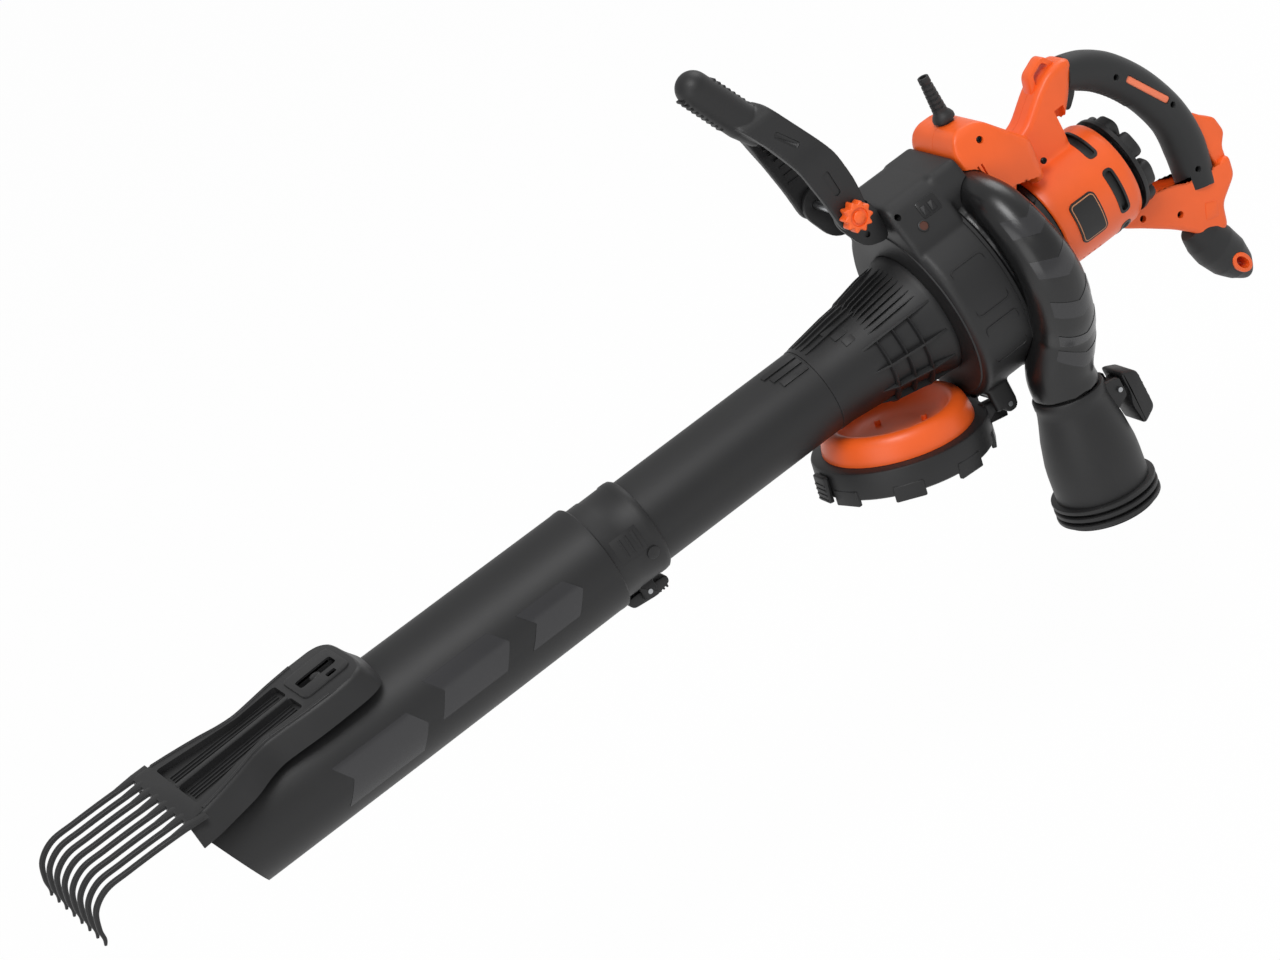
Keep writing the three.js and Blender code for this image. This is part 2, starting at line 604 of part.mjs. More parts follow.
function lowerTube() {
  const { rimX, mouthX, outerR, wall: thick, collarR } = lower;
  const bore = collarR + gap;
  const skin = turned([
    [bore, rimX], [outerR - 1, rimX], [outerR, rimX + 3], [outerR + 1, mouthX - 230], [outerR + 1, mouthX],
    [outerR + 1 - thick - 2, mouthX], [outerR - thick, mouthX - 230], [bore, rimX + 29],
  ], alongX);
  const slope = Math.tan(THREE.MathUtils.degToRad(lower.mouthAngle));
  const high = outerR + 30;
  const reach = mouthX - 4;
  const trim = sidePlate(outline([
    [reach + 20 * slope, high - 4], [mouthX + 60, high], [mouthX + 60, -high],
    [reach - slope * 2 * outerR - 20, -high],
    [reach - slope * 2 * outerR, -outerR]]), -90, 90);
  const [railFrom, railTo] = [rake.x + 28, rake.x + 108];
  const railTop = (x) => deckTop(x) - rake.thick - 2 * gap;
  const rails = both((side) => sidePlate(outline([
    [railFrom, 46], [railTo, 46], [railTo, railTop(railTo)], [railFrom, railTop(railFrom)]]),
  side * 22 - 2, side * 22 + 2));
  const studTop = deckTop(rake.x + 36) + 1;
  const stud = rod(6, studTop - 46, alongZ, [rake.x + 36, 0, (studTop + 46) / 2], fine);
  const boreRod = rod(outerR - thick, 300, alongX, [740, 0, 0], round);
  return cut(join(skin, cut(join(rails), boreRod), cut(stud, boreRod)), trim);
}

function tubeLatch() {
  const bar = sidePlate(roundedOutline([
    [381, -55], [381, -63], [398, -67], [424, -64], [428, -56], [424, -53], [404, -53]], 3), -9, 9);
  const collarRoom = rod(lower.collarR + 0.8, 200, alongX, [400, 0, 0], round);
  return cut(bar, rod(pinR + runGap, 60, alongY, [404, 0, -56]), collarRoom);
}

// ---- rake ----
// Height of the deck's upper face, which rises towards the back.
function deckTop(x) {
  return rake.top + rake.rise * (rake.x + rake.length - x) / rake.length;
}

function rakePlate() {
  const { x, length, top, thick } = rake;
  const end = x + length;
  const edge = [[x + 8, 52], [x + 69, 56], [x + 108, 55], [x + 148, 66], [x + 194, 79], [end, 82]];
  const farEdge = edge.map(([a, b]) => [a, -b]).reverse();
  const shape = roundedOutline([[x, 36], ...edge, ...farEdge, [x, -36]], 12);
  const plan = new THREE.ExtrudeGeometry(shape, { depth: thick, bevelEnabled: false, curveSegments: 2 });
  const plate = solid(plan.translate(0, 0, top - thick));
  const window = box([x + 14, x + 14 + 28 + stroke.rake], [-9, 9], [top - 40, top + 10]);
  const pits = both((side) => {
    const pit = roundedOutline([[x + 62, 6], [x + 190, 6], [x + 190, 52], [x + 120, 38], [x + 62, 34]], 5);
    const tool = new THREE.ExtrudeGeometry(pit, { depth: 3, bevelEnabled: false, curveSegments: 2 });
    if (side < 0) tool.rotateX(Math.PI).translate(0, 0, 3);
    return solid(tool.translate(0, 0, top - 2.6));
  });
  const skirts = both((side) => {
    const inner = edge.map(([a, b]) => [a, side * (b - 5)]).reverse();
    const skirt = new THREE.ExtrudeGeometry(
      outline([...edge.map(([a, b]) => [a, side * (b - 0.5)]), ...inner]), { depth: 24, bevelEnabled: false });
    return solid(skirt.translate(0, 0, top - thick - 22));
  });
  const tilt = THREE.MathUtils.radToDeg(Math.atan(rake.rise / length));
  const deck = cut(join(plate, skirts), window, pits);
  return deck.translate([-end, 0, -top]).rotate([0, tilt, 0]).translate([end, 0, top]);
}

function tine(index) {
  const { x, length, top, pitch, tineWidth, tip, tines } = rake;
  const y = (index - (tines - 1) / 2) * pitch;
  const end = x + length;
  const bar = sidePlate(roundedOutline([
    [end - 12, top - 1], [tip - 22, top - 1], [tip - 4, top - 12], [tip, top - 46], [tip - 5, top - 46],
    [tip - 12, top - 16], [tip - 26, top - 6], [end - 12, top - 6]], 5), y - tineWidth / 2, y + tineWidth / 2);
  return bar;
}

function rakeHead() {
  const tines = Array.from({ length: rake.tines }, (_, i) => tine(i));
  return join(rakePlate(), ...tines);
}

// ---- intake cover, drawn closed about its hinge and swung open ----
const coverGroup = new THREE.Group();
coverGroup.position.set(cover.x, 0, cover.z);
coverGroup.rotation.y = THREE.MathUtils.degToRad(cover.open);
machine.add(coverGroup);

const coverBase = -4; // plane of the bell's foot, ahead of the hinge axis when closed

function coverRing() {
  const centre = [0, 0, cover.arm];
  const { ringR, bellR, ringDepth } = cover;
  const rear = coverBase + ringDepth;
  const cup = turned([
    [bellR - 8, coverBase], [ringR, coverBase], [ringR, rear], [24, rear],
    [24, rear - 4], [ringR - wall, rear - 4], [ringR - wall, coverBase + 4], [bellR - 8, coverBase + 4],
  ], alongX, centre);
  const teeth = [20, 50, 80, 110, 140, 220, 250, 280, 310, 340].map((degrees) => {
    const tooth = box([rear - 5, rear + 6], [-9, 9], [ringR - wall - 0.5, ringR - 0.4]);
    return tooth.rotate([-degrees, 0, 0]).translate([0, 0, cover.arm]);
  });
  const vents = Array.from({ length: 8 }, (_, i) => {
    const vent = box([rear - 8, rear + 8], [-10, 10], [34, 76]);
    return vent.rotate([-i * 45 - 22, 0, 0]).translate([0, 0, cover.arm]);
  });
  const arms = both((side) => box([-5, 16], [side * 26 - 6, side * 26 + 6], [-2, 22]));
  const knuckles = both((side) => rod(7, 12, alongY, [0, side * 26, 0]));
  const hole = rod(pinR + runGap, 120, alongY, [0, 0, 0]);
  const hollow = rod(ringR - wall, rear - coverBase - 8, alongX, [(coverBase + rear) / 2, 0, cover.arm], round);
  return cut(join(cut(cup, ...vents), ...teeth, cut(join(arms, knuckles), hollow)), hole);
}

function coverBell() {
  const { bellR, rimR, bellHeight } = cover;
  const foot = coverBase - gap;
  return turned([
    [0, foot], [bellR, foot], [bellR - 1, foot - 8], [bellR - 7, foot - 14], [rimR + 5, foot - bellHeight + 4],
    [rimR, foot - bellHeight], [rimR - 5, foot - bellHeight + 3], [rimR - 12, foot - 5], [0, foot - 4],
  ], alongX, [0, 0, cover.arm]);
}

function coverCatch() {
  const inside = cover.arm + cover.ringR + gap;
  return box([coverBase + 4, coverBase + cover.ringDepth + 3], [-11, 11], [inside, inside + 5.7]);
}

function coverPin() {
  return rod(pinR, 92, alongY, [cover.x, 0, cover.z]);
}

// ---- motor and fan ----
function impeller() {
  const disc = turned([[5.2, -50], [88, -50], [88, -47.5], [15, -47.5], [12, 4], [5.2, 4]], alongX);
  const blades = Array.from({ length: 8 }, (_, i) => {
    const blade = sidePlate(outline([[-48, 11], [4, 11], [20, 30], [24, 54], [24, 86], [-48, 87]]), -1.3, 1.3);
    return blade.rotate([i * 45, 0, 0]);
  });
  return cut(join(disc, ...blades), rod(5.2, 90, alongX, [-20, 0, 0]));
}

function shaft() {
  return rod(5, 236, alongX, [-94, 0, 0]);
}

function coolingFan() {
  const fanR = motor.radius - 15;
  const disc = ring(fanR, 5.2, -118, -115.5);
  const blades = Array.from({ length: 7 }, (_, i) => (
    box([-117, -106], [-1, 1], [12, fanR - 1]).rotate([i * 360 / 7, 0, 0])));
  return join(disc, ring(13, 5.2, -118, -106, alongX, [0, 0, 0], 16), ...blades);
}

function stator() {
  const yokeR = motor.radius - 8;
  const yoke = ring(yokeR, yokeR - 7, -178, -126);
  const poles = both((side) => box([-178, -126], side > 0 ? [28, yokeR - 5] : [5 - yokeR, -28], [-20, 20]));
  return cut(join(yoke, poles), rod(27.5, 100, alongX, [-150, 0, 0], 32));
}

function buildCasing() {
  piece('fan_casing_front', fanCasingFront(), charcoal, machine);
  piece('volute_duct', volute(), glossBlack, machine);
  piece('outlet_pipe', outletPipe(), charcoal, machine);
  piece('bag_collar', bagCollar(), charcoal, machine);
  piece('outlet_latch', outletLatch(), charcoal, machine);
  piece('outlet_latch_pin', rod(pinR, 40, alongY, [outletPin.x, outlet.y, outletPin.z]), steel, machine);
  piece('motor_neck', motorNeck(), charcoal, machine);
  piece('rear_vent_cap', rearCap(), charcoal, machine);
  piece('cord_guard', cordGuard(), charcoal, machine);
}

function cordGuard() {
  return turned([
    [3.6, 2], [8, 2], [8, 19], [11, 19], [10, 25], [6.5, 32], [5.6, 66], [3.6, 66]],
  alongZ, [guardX, 0, fan.blockTop], guardSides);
}

function labelPanel() {
  const skin = ring(motor.radius + 2, motor.radius + 0.8, -158, -124);
  const window = sidePlate(roundedOutline([[-157, -26], [-126, -26], [-126, 18], [-157, 18]], 6), 20, 80);
  return skin.intersect(window);
}

function buildHousing() {
  const housing = motorHousing();
  const sides = [['left', 1], ['right', -1]];
  sides.forEach(([word, side]) => {
    piece(`motor_housing_${word}`, half(housing, side), orange, machine);
    piece(`grip_half_${word}`, gripHalf(side), softGrip, machine);
    piece(`grip_inlay_${word}`, inlay(side), salmon, machine);
    piece(`handle_lug_${word}`, lug(side), charcoal, machine);
  });
  piece('trigger', trigger(), charcoal, machine);
  piece('trigger_pin', rod(2, 10.4, alongY, [-201.5, 0, 96]), steel, machine);
  piece('strap_hook', strapHook(), orange, machine);
  piece('rear_hook', rearHook(), orange, machine);
  piece('tail_grip', tailGrip(), softGrip, machine);
  piece('tail_eyelet', tailEyelet(), orange, machine);
  piece('label_panel', labelPanel(), charcoal, machine);
}

function buildAssist() {
  piece('assist_handle', assistHandle(), charcoal, machine);
  piece('assist_bolt', assistBolt(), steel, machine);
  piece('assist_knob', assistKnob(), orange, machine);
}

function buildTube() {
  piece('inlet_adapter', inletAdapter(), charcoal, machine);
  piece('upper_tube', upperTube(), charcoal, machine);
  piece('tube_collar', tubeCollar(), charcoal, machine);
  piece('lower_tube', lowerTube(), charcoal, machine);
  piece('tube_latch', tubeLatch(), charcoal, machine);
  piece('tube_latch_pin', rod(pinR, 30, alongY, [404, 0, -56]), steel, machine);
  piece('rake', rakeHead(), charcoal, machine);
}

function buildCover() {
  piece('cover_ring', coverRing(), charcoal, coverGroup);
  piece('cover_bell', coverBell(), orange, coverGroup);
  piece('cover_catch', coverCatch(), charcoal, coverGroup);
  piece('cover_hinge_pin', coverPin(), steel, machine);
}

function buildMotor() {
  const coilR = motor.radius - 16;
  const brushEnd = coilR - 11;
  piece('impeller', impeller(), glossBlack, machine);
  piece('motor_shaft', shaft(), steel, machine);
  piece('impeller_nut', cut(rod(11, 9, alongX, [9, 0, 0], 6), rod(5.2, 30, alongX, [9, 0, 0])), steel, machine);
  piece('cooling_fan', coolingFan(), charcoal, machine);
  piece('armature', ring(26, 5.2, -176, -128), steel, machine);
  piece('commutator', ring(13, 5.2, -194, -180, alongX, [0, 0, 0], 16), copper, machine);
  piece('stator', stator(), steel, machine);
  piece('field_coil_rear', ring(coilR, coilR - 9, -186, -178.6), copper, machine);
  piece('field_coil_front', ring(coilR, coilR - 9, -125.4, -120.5), copper, machine);
  piece('bearing_rear', ring(11, 5.2, -209, -202, alongX, [0, 0, 0], 16), steel, machine);
  piece('bearing_front', ring(13, 5.2, -98, -91, alongX, [0, 0, 0], 16), steel, machine);
  const brush = (side) => box([-191, -183], side > 0 ? [13.6, brushEnd] : [-brushEnd, -13.6], [-4, 4]);
  piece('brush_left', brush(1), brass, machine);
  piece('brush_right', brush(-1), brass, machine);
  piece('switch_module', box([-88, -64], [-12, 12], [fan.blockTop - 20, fan.blockTop + 1]), charcoal, machine);
}

buildCasing();
buildHousing();
buildAssist();
buildTube();
buildCover();
buildMotor();

export default root;
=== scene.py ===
"""Leaf vacuum mulcher: moulded skins, finishes, studio and camera around the packed frame."""
import json
import math

import bmesh
import bpy
from mathutils import Matrix, Vector


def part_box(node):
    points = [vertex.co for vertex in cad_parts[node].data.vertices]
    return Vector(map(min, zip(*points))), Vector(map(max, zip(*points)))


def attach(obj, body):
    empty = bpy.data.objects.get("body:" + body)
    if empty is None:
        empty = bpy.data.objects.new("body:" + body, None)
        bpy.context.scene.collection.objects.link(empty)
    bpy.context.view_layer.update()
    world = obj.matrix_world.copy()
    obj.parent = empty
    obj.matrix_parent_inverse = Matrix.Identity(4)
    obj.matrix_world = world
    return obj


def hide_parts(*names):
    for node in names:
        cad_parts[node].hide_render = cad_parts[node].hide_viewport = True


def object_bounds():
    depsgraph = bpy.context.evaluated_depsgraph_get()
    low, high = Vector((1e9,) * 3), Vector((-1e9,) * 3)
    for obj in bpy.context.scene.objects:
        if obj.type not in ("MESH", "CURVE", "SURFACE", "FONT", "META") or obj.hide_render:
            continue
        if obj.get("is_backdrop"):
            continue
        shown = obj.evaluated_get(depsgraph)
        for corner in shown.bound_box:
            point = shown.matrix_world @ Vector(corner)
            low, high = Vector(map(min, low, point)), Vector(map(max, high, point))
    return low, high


bl_info = {
    "name": "Leaf vacuum mulcher",
    "version": (1, 0, 0),
    "blender": (4, 5, 0),
    "location": "View3D > Sidebar > Mulcher",
    "description": "Builds the skins, finishes and studio of a leaf vacuum mulcher",
    "category": "Object",
}

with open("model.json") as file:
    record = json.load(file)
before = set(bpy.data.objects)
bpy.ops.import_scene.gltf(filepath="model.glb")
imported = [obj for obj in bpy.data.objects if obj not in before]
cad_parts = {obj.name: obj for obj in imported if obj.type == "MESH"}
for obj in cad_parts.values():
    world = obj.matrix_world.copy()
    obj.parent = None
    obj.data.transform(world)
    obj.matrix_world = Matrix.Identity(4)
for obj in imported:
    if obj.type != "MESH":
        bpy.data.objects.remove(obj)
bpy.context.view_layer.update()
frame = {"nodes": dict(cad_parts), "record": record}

# The fan's axis, where its casing's front face lies, is where every shape below is measured from,
# in millimetres: x along the tube, y to the machine's left, z towards the handles.
FRONT_FACE = 36.0
SHAFT_LOW, SHAFT_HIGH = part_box("motor_shaft")
CASING_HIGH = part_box("fan_casing_front")[1]
FAN_CENTRE = Vector((CASING_HIGH.x - FRONT_FACE / 1000, 0.0, (SHAFT_LOW.z + SHAFT_HIGH.z) / 2))
X, Y, Z = Vector((1, 0, 0)), Vector((0, 1, 0)), Vector((0, 0, 1))


def linear(code):
    """An sRGB hex colour as linear red, green and blue."""
    values = [int(code[i:i + 2], 16) / 255 for i in (1, 3, 5)]
    return tuple(v / 12.92 if v <= 0.04045 else ((v + 0.055) / 1.055) ** 2.4 for v in values)


# ---- what a user would change ----
def length(name, text, value):
    return bpy.props.FloatProperty(name=name, description=text, default=value / 1000, min=0.0, unit="LENGTH")


def colour(name, text, code):
    return bpy.props.FloatVectorProperty(
        name=name, description=text, default=linear(code), size=3, min=0, max=1, subtype="COLOR")


class MulcherSizes(bpy.types.PropertyGroup):
    """Sizes of the moulded skins."""
    drum: length("Drum radius", "Outer radius of the fan casing", 100)
    duct: length("Duct radius", "Radius of the scroll duct at the outlet", 33)
    barrel: length("Barrel radius", "Radius of the motor barrel", 55)
    tube: length("Upper tube radius", "Outer radius of the upper tube", 44)
    lower: length("Lower tube radius", "Outer radius of the lower tube", 54)
    tine: length("Tine width", "Width of one rake tine", 7)
    knob: length("Knob radius", "Outer radius of the clamp knob", 15)
    grip: length("Grip half width", "Half the thickness of the main grip", 18)


class MulcherColours(bpy.types.PropertyGroup):
    """Colours of the finishes."""
    orange: colour("Orange", "Housing, knob and cover bell", "#f2601c")
    salmon: colour("Salmon", "Inlays in the main grip", "#f4805a")
    charcoal: colour("Charcoal", "Casings, handle and rake", "#1a1a1b")
    tube: colour("Tube black", "Suction tubes", "#181819")
    gloss: colour("Gloss black", "Scroll duct", "#121213")
    # lighter than the duct and tube it lies on: partly polish, partly a painted highlight
    patch: colour("Patch grey", "Polished patches on the duct and tube", "#2a2a2c")
    grip: colour("Soft grip", "Soft-touch overmould", "#1b1c1d")


# ---- materials ----
def add_node(tree, kind, settings=None, links=None):
    """Adds a node, sets its properties and plain inputs, and links the inputs given as sockets."""
    made = tree.nodes.new(kind)
    for key, value in (settings or {}).items():
        if hasattr(made, key):
            setattr(made, key, value)
        else:
            made.inputs[key].default_value = value
    for key, socket in (links or {}).items():
        tree.links.new(socket, made.inputs[key])
    return made


def surface(name, base, rough, grain_mm, grain_depth_mm, **shader):
    """A moulded surface: faint colour drift, uneven gloss and a fine tool grain.

    grain_mm is the spacing of the grain and grain_depth_mm its height.
    """
    material = bpy.data.materials.new(name)
    material.use_nodes = True
    tree = material.node_tree
    bsdf = tree.nodes["Principled BSDF"]
    place = add_node(tree, "ShaderNodeTexCoord").outputs["Object"]
    drift = add_node(tree, "ShaderNodeTexNoise", {"Scale": 1000 / 55, "Detail": 3.0}, {"Vector": place})
    grain = add_node(tree, "ShaderNodeTexNoise", {"Scale": 1000 / grain_mm, "Detail": 2.0}, {"Vector": place})
    dark = [c * 0.86 for c in base] + [1]
    pale = [min(1, c * 1.1 + 0.002) for c in base] + [1]
    tone = add_node(tree, "ShaderNodeMix", {"data_type": "RGBA"}, {"Factor": drift.outputs["Fac"]})
    tone.inputs[6].default_value = dark
    tone.inputs[7].default_value = pale
    tree.links.new(tone.outputs[2], bsdf.inputs["Base Color"])
    gloss = add_node(tree, "ShaderNodeMapRange", {"To Min": rough - 0.05, "To Max": rough + 0.06},
                     {"Value": drift.outputs["Fac"]})
    tree.links.new(gloss.outputs["Result"], bsdf.inputs["Roughness"])
    bump = add_node(tree, "ShaderNodeBump", {"Strength": 0.6, "Distance": grain_depth_mm / 1000},
                    {"Height": grain.outputs["Fac"]})
    tree.links.new(bump.outputs["Normal"], bsdf.inputs["Normal"])
    for key, value in shader.items():
        bsdf.inputs[key.replace("_", " ")].default_value = value
    return material


def make_materials(colours):
    """Every finish on the object, by its slot name."""
    # ABS moulded in a satin tool: even colour, soft broad highlights
    orange = surface("moulded_abs_orange", colours.orange, 0.4, 0.9, 0.012, IOR=1.53)
    # the same ABS, pigmented salmon
    salmon = surface("moulded_abs_salmon", colours.salmon, 0.5, 0.9, 0.01, IOR=1.53)
    # glass-filled polypropylene from a spark-eroded tool: dull, with a fine pebble drawn at 1.3 mm
    charcoal = surface("spark_grained_polypropylene", colours.charcoal, 0.5, 1.3, 0.03, IOR=1.49)
    # blow-moulded polypropylene tube: smoother, with long soft highlights
    tube = surface("blow_moulded_tube", colours.tube, 0.52, 1.0, 0.01, IOR=1.49)
    # black ABS from a polished tool: sharper highlights than its neighbours
    gloss = surface("polished_tool_abs_black", colours.gloss, 0.3, 0.8, 0.004, IOR=1.53)
    # patches left polished in a grained tool: they mirror the lights more than what is round them, and their
    # lighter grey colour is a painted highlight
    patch = surface("polished_patch_painted_highlight", colours.patch, 0.2, 0.8, 0.002, IOR=1.53)
    # thermoplastic elastomer overmould: soft sheen, no sharp highlight
    grip = surface("soft_touch_elastomer", colours.grip, 0.66, 0.8, 0.03, IOR=1.5, Sheen_Weight=0.15)
    # flexible PVC cord guard
    guard = surface("flexible_pvc_black", linear("#1b1b1c"), 0.55, 0.8, 0.01, IOR=1.53)
    # plain black ABS of the trigger and the name panel; the same black laid inside slots, the barrel and the
    # rake's pits is painted shade
    black_abs_and_painted_shade = surface("moulded_abs_black", linear("#111112"), 0.5, 0.9, 0.01, IOR=1.53)
    # pale printed rim of the bare name panel
    rim = surface("printed_rim_pale", linear("#c4875f"), 0.45, 0.9, 0.002, IOR=1.53)
    # orange ABS seen deep in an unlit hole
    shade = surface("moulded_abs_shaded", linear("#4c2210"), 0.6, 0.9, 0.01, IOR=1.53)
    # ground and turned steel
    steel = surface("ground_steel", linear("#a9abad"), 0.3, 0.6, 0.004, Metallic=1.0)
    # steel screws deep in their holes, coloured near black as painted shade of the holes
    screw = surface("steel_with_painted_hole_shade", linear("#2a2a2b"), 0.35, 0.6, 0.004, Metallic=1.0)
    # lacquered copper windings
    copper = surface("lacquered_copper", linear("#b4683c"), 0.35, 0.6, 0.02, Metallic=1.0)
    # pressed carbon brushes
    carbon = surface("pressed_carbon", linear("#2b2a29"), 0.6, 0.5, 0.02)
    return {
        "orange_shell": orange, "salmon_inlay": salmon, "charcoal_shell": charcoal, "tube_black": tube,
        "gloss_duct": gloss, "patch": patch, "soft_grip": grip, "guard_rubber": guard,
        "trigger_black": black_abs_and_painted_shade, "panel_black": black_abs_and_painted_shade, "rim": rim, "shade": shade, "steel": steel,
        "screw": screw, "copper": copper, "brush_carbon": carbon,
    }


MATERIALS = {}
SHARED_SLOTS = {"patch": "gloss_duct", "rim": "panel_black", "screw": "steel", "shade": "trigger_black"}
SIDES = (("left", 1), ("right", -1))


# ---- mesh tools, all in millimetres round the fan axis ----
def catmull(points, t):
    """A point at t, from 0 to 1, on a smooth curve through the points."""
    last = len(points) - 1
    along = min(max(t, 0.0), 1.0) * last
    i = min(int(along), last - 1)
    f = along - i
    p = [points[min(max(k, 0), last)] for k in (i - 1, i, i + 1, i + 2)]
    p = [Vector(q) for q in p]
    return 0.5 * (2 * p[1] + (p[2] - p[0]) * f + (2 * p[0] - 5 * p[1] + 4 * p[2] - p[3]) * f ** 2
                  + (3 * p[1] - p[0] - 3 * p[2] + p[3]) * f ** 3)


def spine_frame(points, t, reference):
    """Centre, tangent, and the two directions square to it, the first as near as can be to reference."""
    step = 0.004
    centre = catmull(points, t)
    tangent = (catmull(points, t + step) - catmull(points, t - step)).normalized()
    across = (reference - tangent * reference.dot(tangent)).normalized()
    return centre, tangent, across, tangent.cross(across)


def blend_list(values, t):
    along = t * (len(values) - 1)
    i = min(int(along), len(values) - 2)
    return [a + (b - a) * (along - i) for a, b in zip(values[i], values[i + 1])]


def lobe(angle, power):
    c, s = math.cos(angle), math.sin(angle)
    return (math.copysign(abs(c) ** (2 / power), c), math.copysign(abs(s) ** (2 / power), s))


def skin_rings(rings, cap=True):
    """A mesh through rings of points, with flat ends."""
    bm = bmesh.new()
    loops = [[bm.verts.new(p) for p in ring] for ring in rings]
    count = len(rings[0])
    for low, high in zip(loops, loops[1:]):
        for k in range(count):
            bm.faces.new((low[k], low[(k + 1) % count], high[(k + 1) % count], high[k]))
    if cap:
        bm.faces.new(list(reversed(loops[0])))
        bm.faces.new(loops[-1])
    bmesh.ops.recalc_face_normals(bm, faces=bm.faces)
    return bm


def sweep(points, sizes, reference, sides=40, steps=60, power=2.0):
    """An oval section, half sizes (along reference, square to it), carried along a smooth curve."""
    rings = []
    for i in range(steps + 1):
        t = i / steps
        centre, _, across, side = spine_frame(points, t, reference)
        wide, deep = blend_list(sizes, t)
        corners = [lobe(2 * math.pi * k / sides, power) for k in range(sides)]
        rings.append([centre + across * wide * c + side * deep * s for c, s in corners])
    return skin_rings(rings)


def revolve(profile, axis=X, origin=(0, 0, 0), steps=96):
    """A closed (radius, height) outline turned about an axis. A radius of 0 closes on the axis."""
    bm = bmesh.new()
    turn = Z.rotation_difference(Vector(axis).normalized()).to_matrix()
    base = Vector(origin)
    columns = []
    poles = {i: bm.verts.new(base + turn @ Vector((0, 0, h))) for i, (r, h) in enumerate(profile) if r < 1e-6}
    for k in range(steps):
        angle = 2 * math.pi * k / steps
        spot = [(r * math.cos(angle), r * math.sin(angle), h) for r, h in profile]
        columns.append([poles.get(i) or bm.verts.new(base + turn @ Vector(p)) for i, p in enumerate(spot)])
    count = len(profile)
    for a, b in zip(columns, columns[1:] + columns[:1]):
        for i in range(count):
            j = (i + 1) % count
            corner = [a[i], b[i], b[j], a[j]]
            unique = [v for n, v in enumerate(corner) if v not in corner[:n]]
            if len(unique) > 2:
                bm.faces.new(unique)
    bmesh.ops.recalc_face_normals(bm, faces=bm.faces)
    return bm


def rod(radius, low, high, axis=X, origin=(0, 0, 0), steps=96):
    """A solid round bar along an axis."""
    return revolve([(0, low), (radius, low), (radius, high), (0, high)], axis, origin, steps)


def ball(radius, axis, centre):
    """A round solid with its poles on an axis."""
    steps = 12
    turns = [math.pi * i / steps for i in range(1, steps)]
    around = [(radius * math.sin(turn), -radius * math.cos(turn)) for turn in turns]
    return revolve([(0, -radius), *around, (0, radius)], axis, centre, 32)


def rounded(points, radius, steps=5):
    """An outline with its corners rounded."""
    out = []
    count = len(points)
    for i in range(count):
        here = Vector(points[i])
        before, after = Vector(points[i - 1]), Vector(points[(i + 1) % count])
        enter = here + (before - here).normalized() * min(radius, (before - here).length / 2.2)
        leave = here + (after - here).normalized() * min(radius, (after - here).length / 2.2)
        for k in range(steps + 1):
            f = k / steps
            out.append(enter * (1 - f) ** 2 + here * 2 * f * (1 - f) + leave * f ** 2)
    return out


PLANES = {
    "side": lambda a, b, c: Vector((a, c, b)),
    "end": lambda a, b, c: Vector((c, a, b)),
    "top": lambda a, b, c: Vector((a, b, c)),
}


def plate(points, low, high, plane="side", edge=0.0):
    """An outline given a thickness, square to y (side), x (end) or z (top). edge rounds its rims."""
    put = PLANES[plane]
    flat = [Vector(p) for p in points]
    area = sum(a.x * b.y - b.x * a.y for a, b in zip(flat, flat[1:] + flat[:1]))
    if area < 0:
        flat.reverse()
    levels = [(low, 0.0), (high, 0.0)]
    if edge:
        levels = [(low, edge), (low + edge * 0.3, edge * 0.3), (low + edge, 0.0),
                  (high - edge, 0.0), (high - edge * 0.3, edge * 0.3), (high, edge)]
    count = len(flat)
    normals = []
    for i in range(count):
        tangent = flat[(i + 1) % count] - flat[i - 1]
        normals.append(Vector((tangent.y, -tangent.x)).normalized())
    rings = [[put(*(p - n * inset), level) for p, n in zip(flat, normals)] for level, inset in levels]
    return skin_rings(rings)


def rounded_box(x0, x1, z0, z1, corner, steps=5):
    """A rectangle's outline with round corners, or sharp ones when corner is 0."""
    corners = [(x0, z0), (x1, z0), (x1, z1), (x0, z1)]
    return rounded(corners, corner, steps) if corner else corners


def block(x0, x1, y0, y1, z0, z1, edge=0.0):
    return plate(rounded_box(x0, x1, z0, z1, edge), y0, y1, "side", edge)


def turn_about_x(bm, degrees, centre=(0, 0, 0)):
    bmesh.ops.rotate(bm, verts=bm.verts, cent=centre, matrix=Matrix.Rotation(math.radians(-degrees), 3, "X"))
    return bm


def merge(parts):
    """Several meshes as one."""
    whole = bmesh.new()
    for part in parts:
        mesh = bpy.data.meshes.new("part")
        part.to_mesh(mesh)
        part.free()
        whole.from_mesh(mesh)
        bpy.data.meshes.remove(mesh)
    return whole


def new_object(name, bm):
    mesh = bpy.data.meshes.new(name)
    bm.to_mesh(mesh)
    bm.free()
    made = bpy.data.objects.new(name, mesh)
    bpy.context.scene.collection.objects.link(made)
    return made


def bmesh_copy(obj):
    bm = bmesh.new()
    bm.from_mesh(obj.data)
    return bm


def take_mesh(obj):
    """The object's mesh as loose geometry. The object is gone afterwards."""
    bm = bmesh_copy(obj)
    bpy.data.objects.remove(obj)
    return bm


def apply_modifier(obj, kind, **settings):
    modifier = obj.modifiers.new(kind.lower(), kind)
    for key, value in settings.items():
        setattr(modifier, key, value)
    ready = bpy.data.meshes.new_from_object(obj.evaluated_get(bpy.context.evaluated_depsgraph_get()))
    obj.modifiers.clear()
    old = obj.data
    obj.data = ready
    bpy.data.meshes.remove(old)


def mould(name, parts, voxel=1.6, smooth=8):
    """Overlapping solids melted into one moulded body with soft inner corners."""
    obj = new_object(name, merge(parts))
    apply_modifier(obj, "REMESH", mode="VOXEL", voxel_size=voxel)
    apply_modifier(obj, "SMOOTH", factor=0.5, iterations=smooth)
    return obj


def boolean(obj, part, operation="DIFFERENCE"):
    tool = new_object("tool", part)
    apply_modifier(obj, "BOOLEAN", object=tool, operation=operation, solver="MANIFOLD")
    bpy.data.objects.remove(tool)


def carve(obj, parts):
    for part in parts:
        boolean(obj, part)
    return obj


